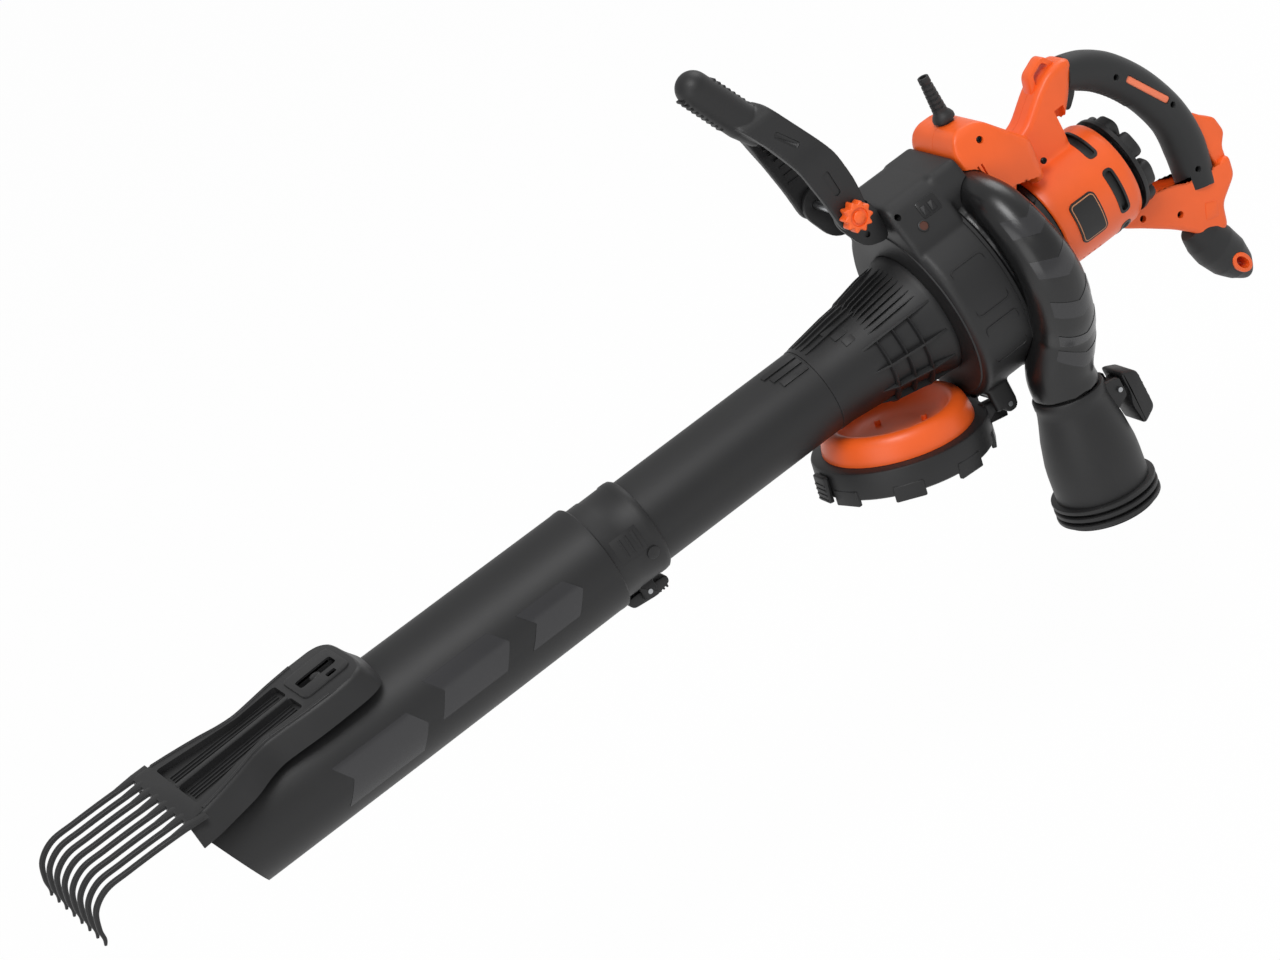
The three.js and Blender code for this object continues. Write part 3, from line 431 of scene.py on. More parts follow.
def halves(blank, name):
    """The blank split along the middle, as a side's word, its sign and its half."""
    for word, sign in SIDES:
        half = new_object(f"{name}_{word}", bmesh_copy(blank))
        boolean(half, block(-400, 400, *sorted((400 * sign, 0.15 * sign)), -400, 400), "INTERSECT")
        yield word, sign, half
    bpy.data.objects.remove(blank)


def present(obj, finish, body="machine", replaced=(), sharp=38, bevel=0.0):
    """Moves a piece into the frame, gives it its finish, and ties it to its body and CAD nodes."""
    mesh = obj.data
    mesh.transform(Matrix.Translation(FAN_CENTRE) @ Matrix.Scale(0.001, 4))
    mesh.polygons.foreach_set("use_smooth", [True] * len(mesh.polygons))
    mesh.set_sharp_from_angle(angle=math.radians(sharp))
    mesh.materials.clear()
    mesh.materials.append(MATERIALS[finish])
    if bevel:
        modifier = obj.modifiers.new("edge", "BEVEL")
        modifier.width = bevel / 1000
        modifier.segments = 2
        modifier.limit_method = "ANGLE"
        modifier.angle_limit = math.radians(40)
        modifier.use_clamp_overlap = True
        modifier.harden_normals = True
    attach(obj, body)
    if replaced:
        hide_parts(*replaced)
    SHARED_SLOTS.get(finish, finish)
    return obj


def piece(name, parts, finish, body="machine", replaced=(), **look):
    return present(new_object(name, merge(parts) if len(parts) > 1 else parts[0]), finish, body, replaced,
                   **look)


def polar(radius, degrees):
    """(y, z) at an angle from straight up towards the left side."""
    angle = math.radians(degrees)
    return radius * math.sin(angle), radius * math.cos(angle)


# ---- fan casing and scroll duct ----
OUTLET_TOP = Vector((-31.5, 75, -122.5))
OUTLET_LEAN = math.radians(7)
OUTLET_AXIS = Vector((math.sin(OUTLET_LEAN), 0, -math.cos(OUTLET_LEAN)))
BLOCK_TOP = 124
SPLIT = -24
HINGE = Vector((14, 0, -114))
LATCH_PIN = (-71.5, OUTLET_TOP.y, -148)
GUARD_PLACE = (-79, 0, 0)


def duct_spine(size):
    """Centre line of the scroll duct, from its nose to the top of the outlet."""
    spin = [(12, -12, 2), (45, -4, 1), (70, -1, 0), (90, 1, 0), (110, -2, 2), (127, -3, 4)]
    line = []
    for degrees, inset, forward in spin:
        y, z = polar(size.drum * 1000 + 10 + inset, degrees)
        line.append((-54 + forward, y, z))
    return line + [tuple(OUTLET_TOP - OUTLET_AXIS * 22), tuple(OUTLET_TOP)]


def duct_sizes(size, grow=0.0):
    end = size.duct * 1000
    return [(r + grow, r + grow) for r in (14, 23, 27, 30, 31, 32, end - 0.5, end)]


def block_section():
    """The casing's flat-topped block, seen from the front."""
    half, foot, waist = 42, 68, 74
    return rounded([(-foot, 40), (foot, 40), (foot, waist), (half, BLOCK_TOP), (-half, BLOCK_TOP),
                    (-foot, waist)], 12)


def build_casing(size):
    r = size.drum * 1000
    drum = revolve([(0, SPLIT), (r - 1.5, SPLIT), (r, SPLIT + 1.5), (r, 29), (r - 2, 33.5), (r - 7, 36),
                    (0, 36)])
    hump = plate(block_section(), SPLIT, FRONT_FACE, "end", 4)
    crest = plate(rounded([(54, 72), (54, 101), (42, BLOCK_TOP), (-42, BLOCK_TOP), (-54, 101), (-54, 72)], 6),
                  -52, SPLIT + 6, "end", 3)
    legs = [block(5, 29, s * 42 - 4, s * 42 + 4, -115, -84, 2) for s in (1, -1)]
    cheeks = [rod(8, -4, 4, Y, HINGE + Y * s * 42, 32) for s in (1, -1)]
    casing = mould("drum_casing", [drum, hump, crest, *legs, *cheeks], 1.7, 5)
    carve(casing, [
        rod(61, 20, 60),
        rod(2.7, -70, 70, Y, HINGE, 24),
        rod(3.2, 30, 60, Y, (28, 0, 112), 20),
        revolve([(0, -96), (60, -88), (80, -76), (92, -66), (99.6, -53), (100.4, -46), (100.4, SPLIT - 0.3),
                 (0, SPLIT - 0.3)]),
        sweep(duct_spine(size), duct_sizes(size, 0.6), X, 40, 60),
    ])
    present(casing, "charcoal_shell", replaced=["fan_casing_front"])
    casing_details(r)


def curved_frame(r, x0, x1, a0, a1, width, height, corner=5):
    """A raised rounded-rectangle line lying on a cylinder of radius r."""
    outer = rounded_box(x0, x1, a0 * r, a1 * r, corner, 6)
    mid = Vector(((x0 + x1) / 2, (a0 + a1) / 2 * r))
    rings = []
    for radius, inset in ((r - 0.5, 0), (r + height, 0.3), (r + height, width - 0.3), (r - 0.5, width)):
        ring = []
        for p in outer:
            q = p - (p - mid).normalized() * inset
            ring.append(Vector((q.x, radius * math.sin(q.y / r), radius * math.cos(q.y / r))))
        rings.append(ring)
    bm = skin_rings(rings + [rings[0]], cap=False)
    bmesh.ops.remove_doubles(bm, verts=bm.verts, dist=0.001)
    bmesh.ops.recalc_face_normals(bm, faces=bm.faces)
    return bm


def casing_details(r):
    frames = [curved_frame(r, -14, 24, math.radians(a), math.radians(b), 1.6, 0.8)
              for a, b in ((58, 88), (95, 121))]
    piece("casing_outlines", frames, "charcoal_shell")
    rim = revolve([(63, 35.6), (r - 7.5, 35.6), (r - 8.5, 37.2), (66, 37.2)])
    lip = revolve([(r - 0.5, SPLIT), (r + 1.2, SPLIT + 0.4), (r + 1.2, SPLIT + 3.5), (r - 0.5, SPLIT + 4)])
    piece("casing_rims", [rim, lip], "charcoal_shell")
    plaque = plate(rounded_box(-14, 8, 97, 114, 3), 0, 1.6, "side", 0.5)
    tilt_plaque(plaque)
    piece("side_plaque", [plaque], "gloss_duct")
    socket = revolve([(0, 0.6), (5.4, 0.6), (5.4, 1.9), (4.4, 2.3), (4.4, 1), (0, 1)], Y, (13, 0, 93), 28)
    bars = [block(x, x + 6, 1.2, 2.3, 99, 109, 0.8) for x in (-9, 0)]
    marks = merge([socket, *bars])
    tilt_plaque(marks)
    piece("plaque_marks", [marks], "charcoal_shell")
    eye = rod(4.3, 0.8, 1.7, Y, (13, 0, 93), 28)
    tilt_plaque(eye)
    piece("plaque_eye", [eye], "shade")


def tilt_plaque(bm):
    """Lays a flat drawing on the sloping side of the casing's hump."""
    slope = math.degrees(math.atan2(26, BLOCK_TOP - 74))
    bmesh.ops.rotate(bm, verts=bm.verts, cent=(0, 0, 98), matrix=Matrix.Rotation(math.radians(slope), 3, "X"))
    bmesh.ops.translate(bm, verts=bm.verts, vec=(0, 54.6, 0))


def volute_body(size):
    shell = revolve([
        (0, -88), (48, -88), (52, -86.5), (64, -82), (80, -74), (92, -64.5), (99, -52), (100, -46),
        (100, SPLIT - 0.4), (0, SPLIT - 0.4)])
    line, sizes = duct_spine(size), duct_sizes(size)
    return [shell, sweep(line, sizes, X, 48, 90), ball(sizes[0][0], X, line[0])]


def build_volute(size):
    body = mould("scroll_duct", volute_body(size), 1.8, 8)
    bore = sweep(duct_spine(size)[4:] + [tuple(OUTLET_TOP + OUTLET_AXIS * 12)],
                 [(r - 3, r - 3) for r in (31, 32, 32.5, 33, 33)], X, 48, 40)
    carve(body, [bore])
    present(body, "gloss_duct", replaced=["volute_duct"])
    stations = [0.2, 0.33, 0.46, 0.59, 0.72]
    patches = [duct_patch(size, t) for t in stations]
    # the chevrons' lighter grey is a painted highlight
    piece("duct_chevrons", patches, "patch")


def duct_patch(size, start):
    """A polished chevron lying on the outside of the scroll duct."""
    line, sizes = duct_spine(size), duct_sizes(size)
    across_steps, along_steps, span, reach = 16, 6, 0.055, 0.03
    rows = {}
    for lift in (-0.4, 0.4):
        rows[lift] = []
        for j in range(along_steps + 1):
            row = []
            for i in range(across_steps + 1):
                u = i / across_steps
                t = start + span * j / along_steps + reach * (1 - abs(2 * u - 1))
                centre, _, across, side = spine_frame(line, t, X)
                radius = blend_list(sizes, t)[0] + lift
                angle = math.radians(-150 + 105 * u)
                row.append(centre + across * radius * math.cos(angle) + side * radius * math.sin(angle))
            rows[lift].append(row)
    return thick_sheet(rows[-0.4], rows[0.4])


def thick_sheet(below, above):
    """A closed thin body between two grids of points."""
    bm = bmesh.new()
    grids = [[[bm.verts.new(p) for p in row] for row in grid] for grid in (below, above)]
    rows, cols = len(below), len(below[0])
    for g in grids:
        for j in range(rows - 1):
            for i in range(cols - 1):
                bm.faces.new((g[j][i], g[j][i + 1], g[j + 1][i + 1], g[j + 1][i]))
    rim = [(0, i) for i in range(cols)] + [(j, cols - 1) for j in range(1, rows)]
    rim += [(rows - 1, i) for i in range(cols - 2, -1, -1)] + [(j, 0) for j in range(rows - 2, 0, -1)]
    for (j0, i0), (j1, i1) in zip(rim, rim[1:] + rim[:1]):
        bm.faces.new((grids[0][j0][i0], grids[0][j1][i1], grids[1][j1][i1], grids[1][j0][i0]))
    bmesh.ops.recalc_face_normals(bm, faces=bm.faces)
    return bm


# ---- bag outlet ----
def build_outlet(size):
    top = size.duct * 1000 + 1
    bell, run = 46, 105
    pipe = revolve([
        (top - 3, 0.6), (top + 0.4, 0.6), (top + 1.6, 2.5), (top + 1.6, 9), (top + 0.8, 11), (top + 1.6, 18),
        (top + 3.5, 27), (bell - 4.4, 44), (bell - 2.8, 54), (bell - 0.6, 68), (bell, 79), (bell, run),
        (bell - 3, run), (bell - 3, 79), (bell - 6, 53), (top - 2, 18)], OUTLET_AXIS, OUTLET_TOP)
    ear = rounded([(-77, -138), (-56, -134), (-56, -168), (-77, -158)], 3)
    ears = [plate(ear, OUTLET_TOP.y + s * 14 - 3, OUTLET_TOP.y + s * 14 + 3) for s in (1, -1)]
    piece("outlet_cone", [pipe], "charcoal_shell", replaced=["outlet_pipe"])
    piece("outlet_ears", ears, "charcoal_shell", bevel=0.6)
    rings = []
    start = run + 0.3
    for i in range(3):
        h = start + 8 * i
        rings += [(bell + 4.6, h), (bell + 5.8, h + 0.7), (bell + 6, h + 2.4), (bell + 5.8, h + 4.1),
                  (bell + 4.6, h + 4.8), (bell + 0.6, h + 5.2), (bell + 0.6, h + 7.4)]
    collar = revolve([(bell - 3, start), *rings, (bell + 1, start + 24), (bell - 3, start + 24)],
                     OUTLET_AXIS, OUTLET_TOP)
    piece("bag_rings", [collar], "charcoal_shell", replaced=["bag_collar"])
    build_outlet_latch()


def build_outlet_latch():
    outline = rounded([(-79, -134), (-97, -143), (-97, -186), (-79, -196), (-76, -170), (-80, -160)], 6)
    body = plate(outline, 57, 93, "side", 3)
    ribs = [plate(rounded_box(-95, -98.2, z, z - 3, 1), 62, 88) for z in (-150, -158, -166, -174)]
    knuckle = rod(5.5, -10.5, 10.5, Y, LATCH_PIN, 32)
    bridge = block(-84, -72, 64.6, 85.4, -153, -143, 1)
    piece("bag_latch_lever", [body, *ribs, knuckle, bridge], "charcoal_shell", "bag_latch", ["outlet_latch"])


# ---- motor body ----
def housing_parts(size):
    r = size.barrel * 1000
    side = rounded([(-52.6, 60), (-52.6, 124), (-64, 141), (-92, 139), (-121, 104), (-130, 94), (-126, 50),
                    (-113, 50), (-107, 69), (-98, 66), (-86, 42), (-74, 42)], 10)
    shroud = new_object("shroud", plate(side, -48, 48, "side", 10))
    front = rounded([(48, 28), (48, 104), (36, 146), (-36, 146), (-48, 104), (-48, 28)], 18)
    boolean(shroud, plate(front, -160, -20, "end"), "INTERSECT")
    post = plate(rounded([(-112, 60), (-124, 88), (-142, 93), (-168, 114), (-186, 125), (-208, 127),
                          (-216, 121), (-197, 91), (-184, 76), (-176, 50),
                          (-140, 40)], 8), -18, 18, "side", 6)
    neck = plate(rounded([(-186, -28), (-206, -42), (-222, -50), (-249, -57), (-268, -66), (-300, -72),
                          (-308, -60), (-322, -60), (-318, -82), (-294, -100), (-288, -123), (-262, -124),
                          (-254, -108), (-234, -90), (-204, -68), (-186, -56)], 6), -15, 15, "side", 4)
    barrel = revolve([(0, -206), (r - 7, -206), (r - 3, -203), (r, -197), (r + 0.5, -155), (r, -118),
                      (r - 1.5, -110), (0, -110)])
    return [take_mesh(shroud), post, neck, barrel]


def vent_shade_lining(r, degrees):
    """The black louvre that lines one slot, following the barrel's curve."""
    edge = rounded_box(-186, -174, -24.6, 24.6, 5.8, 8)
    insert = new_object("insert", plate(edge, 30, 90, "top"))
    boolean(insert, revolve([(r - 5, -190), (r + 0.7, -190), (r + 0.7, -170), (r - 5, -170)]), "INTERSECT")
    hole = rounded_box(-183.6, -176.4, -22, 22, 3.4, 6)
    boolean(insert, plate(hole, 20, 90, "top"))
    return turn_about_x(take_mesh(insert), degrees)


def vent_tool(degrees):
    """A tall slot with round ends, cut through the barrel's wall."""
    return turn_about_x(plate(rounded_box(-185.5, -174.5, -24, 24, 5.4, 8), 40, 90, "top"), degrees)


VENTS = (22, 90, 158, 202, 270)
# each housing screw: its x and z, how far out the plastic round it is, and its hole's radius
SCREWS = [
    (-83, 123, 46, 3.6), (-134, 63.5, 42, 3.6), (-208.6, -59, 15, 3.6), (-246, -80, 15, 3.6)]


def build_housing(size):
    r = size.barrel * 1000
    shell = mould("housing_blank", housing_parts(size), 1.5, 7)
    tools = [
        rod(r - 3, -215, -60),
        revolve([(0, -91), (60, -85), (70, -81), (86, -74), (95, -65), (101.5, -52), (101.5, -20), (0, -20)]),
        rod(53, -109.6, -80),
        sweep(duct_spine(size), duct_sizes(size, 0.8), X, 40, 60),
        sweep(GRIP_LINE, [(a + 0.3, b + 0.3) for a, b in grip_sizes(size)], Y, 40, 60),
        trigger_slot(),
        rod(8.3, 110, 160, Z, GUARD_PLACE, 32),
        sweep(TAIL_LINE, [(a + 0.5, b + 0.5) for a, b in TAIL_SIZES], Y, 40, 40),
    ]
    tools += [vent_tool(a) for a in VENTS]
    for x, z, face, hole in SCREWS:
        for s in (1, -1):
            tools.append(rod(hole, face - 7, face + 30, Y * s, (x, 0, z), 24))
    teeth = [block(-150 + 7 * i, -147 + 7 * i, 28, 44, -60, -44) for i in range(5)]
    fins = [block(-59 - 4.5 * i, -57 - 4.5 * i, 44, 60, 84, 104) for i in range(4)]
    carve(shell, tools + teeth + fins)
    for word, _, half in halves(shell, "housing"):
        present(half, "orange_shell", replaced=[f"motor_housing_{word}"], sharp=42)
    build_screws()
    build_label(r)
    build_neck_and_cap(r)
    build_hooks()


def screw_head(x, z, face, sign, radius=3.2):
    """A pan head with a cross recess, seen end on down its hole."""
    head = new_object("head", revolve(
        [(0, face - 7), (radius, face - 7), (radius, face - 5.4), (radius * 0.75, face - 4.6),
         (0, face - 4.4)],
        Y * sign, (x, 0, z), 24))
    depth = (face - 5.8) * sign
    far = (face + 2) * sign
    for a, b in ((0.5, 2.2), (2.2, 0.5)):
        boolean(head, block(x - a, x + a, min(depth, far), max(depth, far), z - b, z + b))
    return take_mesh(head)


def build_screws():
    heads = [screw_head(x, z, face, s) for x, z, face, _ in SCREWS for s in (1, -1)]
    grip_heads = [screw_head(x, z, 18, s, 2.9) for x, z in GRIP_SCREWS for s in (1, -1)]
    # the screws' near-black colour is painted shade of their holes
    piece("shell_screws", heads + grip_heads, "screw")


def build_label(r):
    """A bare name panel with a pale rim on each side of the barrel."""
    for word, sign in SIDES:
        panel = label_sheet(r, sign, 0.0, -1.5, 0.9)
        rim = label_sheet(r, sign, 1.7, -1, 1.2)
        inner = label_sheet(r, sign, 2.7, -0.5, 1.5)
        replaced = ["label_panel"] if sign > 0 else []
        piece(f"name_panel_{word}", [panel], "panel_black", replaced=replaced)
        piece(f"name_panel_rim_{word}", [rim], "rim")
        piece(f"name_panel_face_{word}", [inner], "panel_black")


def label_sheet(r, sign, inset, low, high):
    """A rounded rectangle wrapped on the barrel, between two heights above it."""
    x0, x1, z0, z1 = -157 + inset, -126 - inset, -26 + inset, 18 - inset
    corner = 6 - inset
    grids = []
    for lift in (low, high):
        radius = r + 0.5 + lift
        rows = []
        for j in range(33):
            z = z0 + (z1 - z0) * (1 - math.cos(math.pi * j / 32)) / 2
            reach = max(0.0, corner - min(z - z0, z1 - z))
            pull = corner - math.sqrt(max(0.0, corner ** 2 - reach ** 2))
            y = sign * math.sqrt(radius ** 2 - z ** 2)
            rows.append([Vector((x0 + pull + (x1 - x0 - 2 * pull) * i / 6, y, z)) for i in range(7)])
        grids.append(rows)
    return thick_sheet(*grids)


def build_neck_and_cap(r):
    ring = new_object("neck_ring", revolve([(47, -109.2), (52.6, -109.2), (52.6, -88.6), (47, -88.6)]))
    for degrees in range(-160, 181, 40):
        slot = plate(rounded_box(-8, 8, 44, 60, 3), -104, -94, "end")
        boolean(ring, turn_about_x(slot, degrees))
    present(ring, "charcoal_shell", replaced=["motor_neck"], bevel=0.4)
    cup = revolve([(9, -214), (r - 4, -214), (r - 3.4, -212), (r - 3.4, -209), (9, -209)])
    hub = revolve([(9, -217), (14, -217), (16, -214), (16, -209), (9, -209)])
    lobes = []
    for degrees in (0, 45, 90, 135, 180, 225, 270, 315):
        lobe_plate = plate(rounded([(-12, 29), (12, 29), (14, 44), (8, 49), (-8, 49), (-14, 44)], 5), -226,
                           -208, "end", 3)
        lobes.append(turn_about_x(lobe_plate, degrees + 12))
    # painted shade: black linings over the vents' walls
    piece("vent_painted_shade_linings", [vent_shade_lining(r, a) for a in VENTS], "trigger_black")
    # painted shade: a black sleeve inside the barrel so that what is seen through the vents reads dark
    shade_sleeve = revolve([(r - 4.4, -203), (r - 3.4, -203), (r - 3.4, -112), (r - 4.4, -112)])
    piece("barrel_painted_shade_sleeve", [shade_sleeve], "trigger_black")
    piece("louvred_cap", [cup, hub, *lobes], "charcoal_shell", replaced=["rear_vent_cap"], bevel=0.4)


def build_hooks():
    strap = plate(rounded([(-164, 104), (-171, 129), (-193, 139), (-205, 123)], 6), -8, 8, "side", 2)
    strap_body = new_object("strap_loop", strap)
    boolean(strap_body, plate(rounded([(-174, 117), (-176, 127.5), (-190, 133.8), (-195, 127)], 3), -20, 20))
    present(strap_body, "orange_shell", replaced=["strap_hook"])
    back = mould("rear_nub", [
        plate(rounded([(-298, -6), (-307, -2), (-318, -14), (-328, -22), (-331, -40), (-322, -52),
                       (-320, -68), (-306, -68), (-302, -30)], 4),
              -9, 9, "side", 3)], 1.2, 4)
    boolean(back, sweep(GRIP_LINE, [(a + 0.3, b + 0.3) for a, b in grip_sizes_now()], Y, 40, 60))
    present(back, "orange_shell", replaced=["rear_hook"])


# ---- handles ----
GRIP_LINE = [(-206, 0, 109), (-226, 0, 100), (-246, 0, 84), (-265, 0, 59), (-279, 0, 31), (-288, 0, 1),
             (-289, 0, -30), (-284, 0, -64), (-282.5, 0, -71)]
GRIP_SCREWS = [(-248, 79), (-289, 20), (-283, -51)]
TAIL_LINE = [(-257, 0, -106), (-264, 0, -120), (-271, 0, -136), (-279, 0, -154), (-286, 0, -170),
             (-291, 0, -184)]
TAIL_SIZES = [(12, 14), (19, 21), (21.5, 23.5), (20, 22), (15, 16), (5, 5)]


def grip_sizes(size):
    half = size.grip * 1000
    return [(half, deep) for deep in (17, 19, 20, 20, 20, 20, 21, 19, 18)]


def trigger_slot():
    """The slot through the housing and the grip that the trigger swings in."""
    return plate(rounded([(-190, 62), (-174, 70), (-196, 112), (-222, 106), (-214, 80)], 2), -5.5, 5.5)


def grip_sizes_now():
    return grip_sizes(bpy.context.scene.mulcher_sizes)


def grip_band(t, first, last, size, lift=0.9, width=1.3):
    """A raised rib across the grip, from one angle to another round its section."""
    steps = 20
    rings = []
    centre, tangent, across, side = spine_frame(GRIP_LINE, t, Y)
    wide, deep = blend_list(grip_sizes(size), t)
    for i in range(steps + 1):
        angle = math.radians(first + (last - first) * i / steps)
        fade = min(1.0, 4 * min(i, steps - i) / steps + 0.05)
        out = (across * math.cos(angle) + side * math.sin(angle)).normalized()
        spot = centre + across * wide * math.cos(angle) + side * deep * math.sin(angle)
        rings.append([spot + tangent * width * a + out * (lift * fade if b else -0.8)
                      for a, b in ((-1, 0), (-0.6, 1), (0.6, 1), (1, 0))])
    return skin_rings(rings)


def build_grip(size):
    blank = new_object("grip_blank", sweep(GRIP_LINE, grip_sizes(size), Y, 56, 110, 2.3))
    tools = [trigger_slot()]
    for s in (1, -1):
        tools.append(plate(inlay_bed(0.3), *sorted((s * 13.5, s * 30))))
        tools += [rod(3.3, 11, 30, Y * s, (x, 0, z), 24) for x, z in GRIP_SCREWS]
    carve(blank, tools)
    for word, sign, half in halves(blank, "soft_grip"):
        present(half, "soft_grip", replaced=[f"grip_half_{word}"])
        bar = plate(inlay_bed(0.0), *sorted((sign * 13.5, sign * 16.6)), "side", 0.8)
        piece(f"salmon_bar_{word}", [bar], "salmon_inlay", replaced=[f"grip_inlay_{word}"])
    ribs = [grip_band(0.1 + 0.022 * i, 20, 160, size) for i in range(15)]
    piece("grip_ribs", ribs, "soft_grip")
    blade = plate(rounded([(-200, 103), (-212, 91), (-207, 84), (-196, 74), (-190, 80), (-196, 96)], 5), -5,
                  5, "side", 1.4)
    piece("trigger_blade", [blade], "trigger_black", "trigger_arm", ["trigger"])


def inlay_bed(grow):
    """Outline of the salmon inlay, on the grip's flank, grown by a clearance."""
    return rounded([(-260.5 - grow, 73.5 + grow), (-254.5 + grow, 69.5), (-284 + grow, 24 - grow),
                    (-290 - grow, 28)], 3)


def build_tail(size):
    egg = new_object("tail_egg", sweep(TAIL_LINE, TAIL_SIZES, Y, 56, 60, 2.15))
    boolean(egg, plate(eye_outline(13.2, 9.2), -40, 40))
    present(egg, "soft_grip", replaced=["tail_grip"])
    eye = new_object("tail_eye_ring", plate(eye_outline(13, 9), -20.5, 20.5, "side", 1.6))
    boolean(eye, plate(eye_outline(8.5, 5), -40, 40))
    present(eye, "orange_shell", replaced=["tail_eyelet"])
    seam = plate(rounded([(-288, -92), (-282, -106), (-268, -102), (-275, -86)], 2), -15.5, 15.5, "side", 0.4)
    piece("neck_plaque", [seam], "orange_shell")


def eye_outline(long, short, steps=28):
    lean = math.radians(62)
    out = []
    for k in range(steps):
        a, b = long * math.cos(2 * math.pi * k / steps), short * math.sin(2 * math.pi * k / steps)
        out.append((-281 + a * math.cos(lean) - b * math.sin(lean),
                    -160 + a * math.sin(lean) + b * math.cos(lean)))
    return out


def build_guard(size):
    folds = []
    for i in range(6):
        h = 153 + 5 * i
        r = 7.2 - 0.25 * i
        folds += [(r, h), (r, h + 3), (r - 1.1, h + 3.6), (r - 1.1, h + 4.4)]
    guard = revolve([(3.6, 126), (8, 126), (8, 142.6), (11, 143), (11, 146), (9.5, 149), (7.6, 151.5), *folds,
                     (5.8, 184), (5.6, 190), (3.6, 190)], Z, GUARD_PLACE, 48)
    piece("cord_sleeve", [guard], "guard_rubber", replaced=["cord_guard"])


PIVOT = (64, 0, 139)
LUG_IN, LUG_OUT = 27, 33
ARM_IN, ARM_OUT = 33.8, 42.8


def build_assist(size):
    profile = rounded([(50, 127), (64, 121), (78, 129), (82, 163), (89, 202), (100, 236), (114, 264),
                       (139, 312), (134, 326), (116, 330), (102, 314), (82, 276), (57, 219), (49, 198),
                       (45, 168), (46, 140)], 9)
    body = new_object("assist_blank", plate(profile, -44, 44, "side"))
    fork = rounded([(-ARM_OUT, 100), (-ARM_OUT, 208), (-18, 268), (18, 268), (ARM_OUT, 208),
                    (ARM_OUT, 100)], 12)
    boolean(body, plate(fork, 20, 160, "end"), "INTERSECT")
    slot = rounded([(-ARM_IN, 80), (-ARM_IN, 203), (-10, 250), (10, 250), (ARM_IN, 203), (ARM_IN, 80)], 8)
    boolean(body, plate(slot, 0, 180, "end"))
    grip = sweep([(90, 0, 240), (100, 0, 262), (111, 0, 284), (121, 0, 304), (126, 0, 315)],
                 [(15, 13), (18.5, 18), (18, 18), (17.5, 17.5), (17, 17)], Y, 32, 40)
    boolean(body, block(40, 140, -60, 60, 268, 360))
    body = mould("assist_blank", [take_mesh(body), grip, ball(17, Z, (126, 0, 315))], 1.2, 8)
    recesses = [plate(rounded([(63, 164), (70, 163), (73, 188), (65, 190)], 3), *sorted((s * 41.4, s * 60)))
                for s in (1, -1)]
    for s in (1, -1):
        groove = block(78, 86, -4, 4, 221, 247, 3)
        for degrees, axis in ((31, "Y"), (s * 22, "X")):
            turn = Matrix.Rotation(math.radians(degrees), 3, axis)
            bmesh.ops.rotate(groove, verts=groove.verts, cent=(82, 0, 234), matrix=turn)
        bmesh.ops.translate(groove, verts=groove.verts, vec=(0, s * 34.5, 0))
        recesses.append(groove)
    recesses.append(rod(4.3, -60, 60, Y, PIVOT, 32))
    carve(body, recesses)
    present(body, "charcoal_shell", "assist", ["assist_handle"])
    assist_details()


def assist_details():
    grooves = []
    for i in range(9):
        z = 268 + 5.4 * i
        middle = 111 + (z - 284) * 0.49
        for x in (middle - 17.6, middle + 17.6):
            grooves.append(block(x - 2.6, x + 2.6, -6, 6, z - 1.4, z + 1.4, 0.9))
    piece("handle_grip_ribs", grooves, "charcoal_shell", "assist")
    lattice = []
    for i in range(7):
        z = 170 + 9 * i
        x = 64 + max(0, z - 192) * 0.44
        for s in (1, -1):
            inner = ARM_IN if z < 192 else ARM_IN - (z - 192) * 0.42
            lattice.append(block(x - 12, x + 12, *sorted((s * (inner - 1.4), s * (inner + 2))), z - 0.8,
                                 z + 0.8))
    piece("handle_lattice", lattice, "charcoal_shell", "assist")
    for word, s in SIDES:
        shape = rounded([(36.3, 92), (64, 100), (80, 136), (70, 154), (52, 156), (36.3, 130)], 12)
        lug = new_object(f"lug_plate_{word}", plate(shape, *sorted((s * LUG_IN, s * LUG_OUT)), "side", 0.8))
        tools = [rod(4.3, -60, 60, Y, PIVOT, 32)]
        tools += [rod(3, LUG_OUT - 3, 60, Y * s, (x, 0, z), 24) for x, z in ((44, 138), (56, 110))]
        carve(lug, tools)
        present(lug, "charcoal_shell", replaced=[f"handle_lug_{word}"])


def build_knob(size):
    r = size.knob * 1000
    outline = []
    for k in range(120):
        a = 2 * math.pi * k / 120
        reach = r - 1.6 + 1.6 * math.cos(10 * a)
        outline.append((PIVOT[0] + reach * math.sin(a), PIVOT[2] + reach * math.cos(a)))
    low = ARM_OUT + 0.3
    knob = new_object("clamp_knob", plate(outline, low, low + 13, "side", 1.4))
    boolean(knob, rod(4.3, 40, low + 12, Y, PIVOT, 32))
    boolean(knob, revolve([(0, low + 11.4), (8.5, low + 11.4), (9.6, low + 14), (0, low + 14)], Y, PIVOT, 48))
    present(knob, "orange_shell", "knob", ["assist_knob"], sharp=50)
    cap = revolve([(0, low + 12.1), (6, low + 12.1), (6, low + 13.6), (4.8, low + 14.6), (0, low + 15)], Y,
                  PIVOT, 40)
    piece("knob_boss", [cap], "orange_shell", "knob")


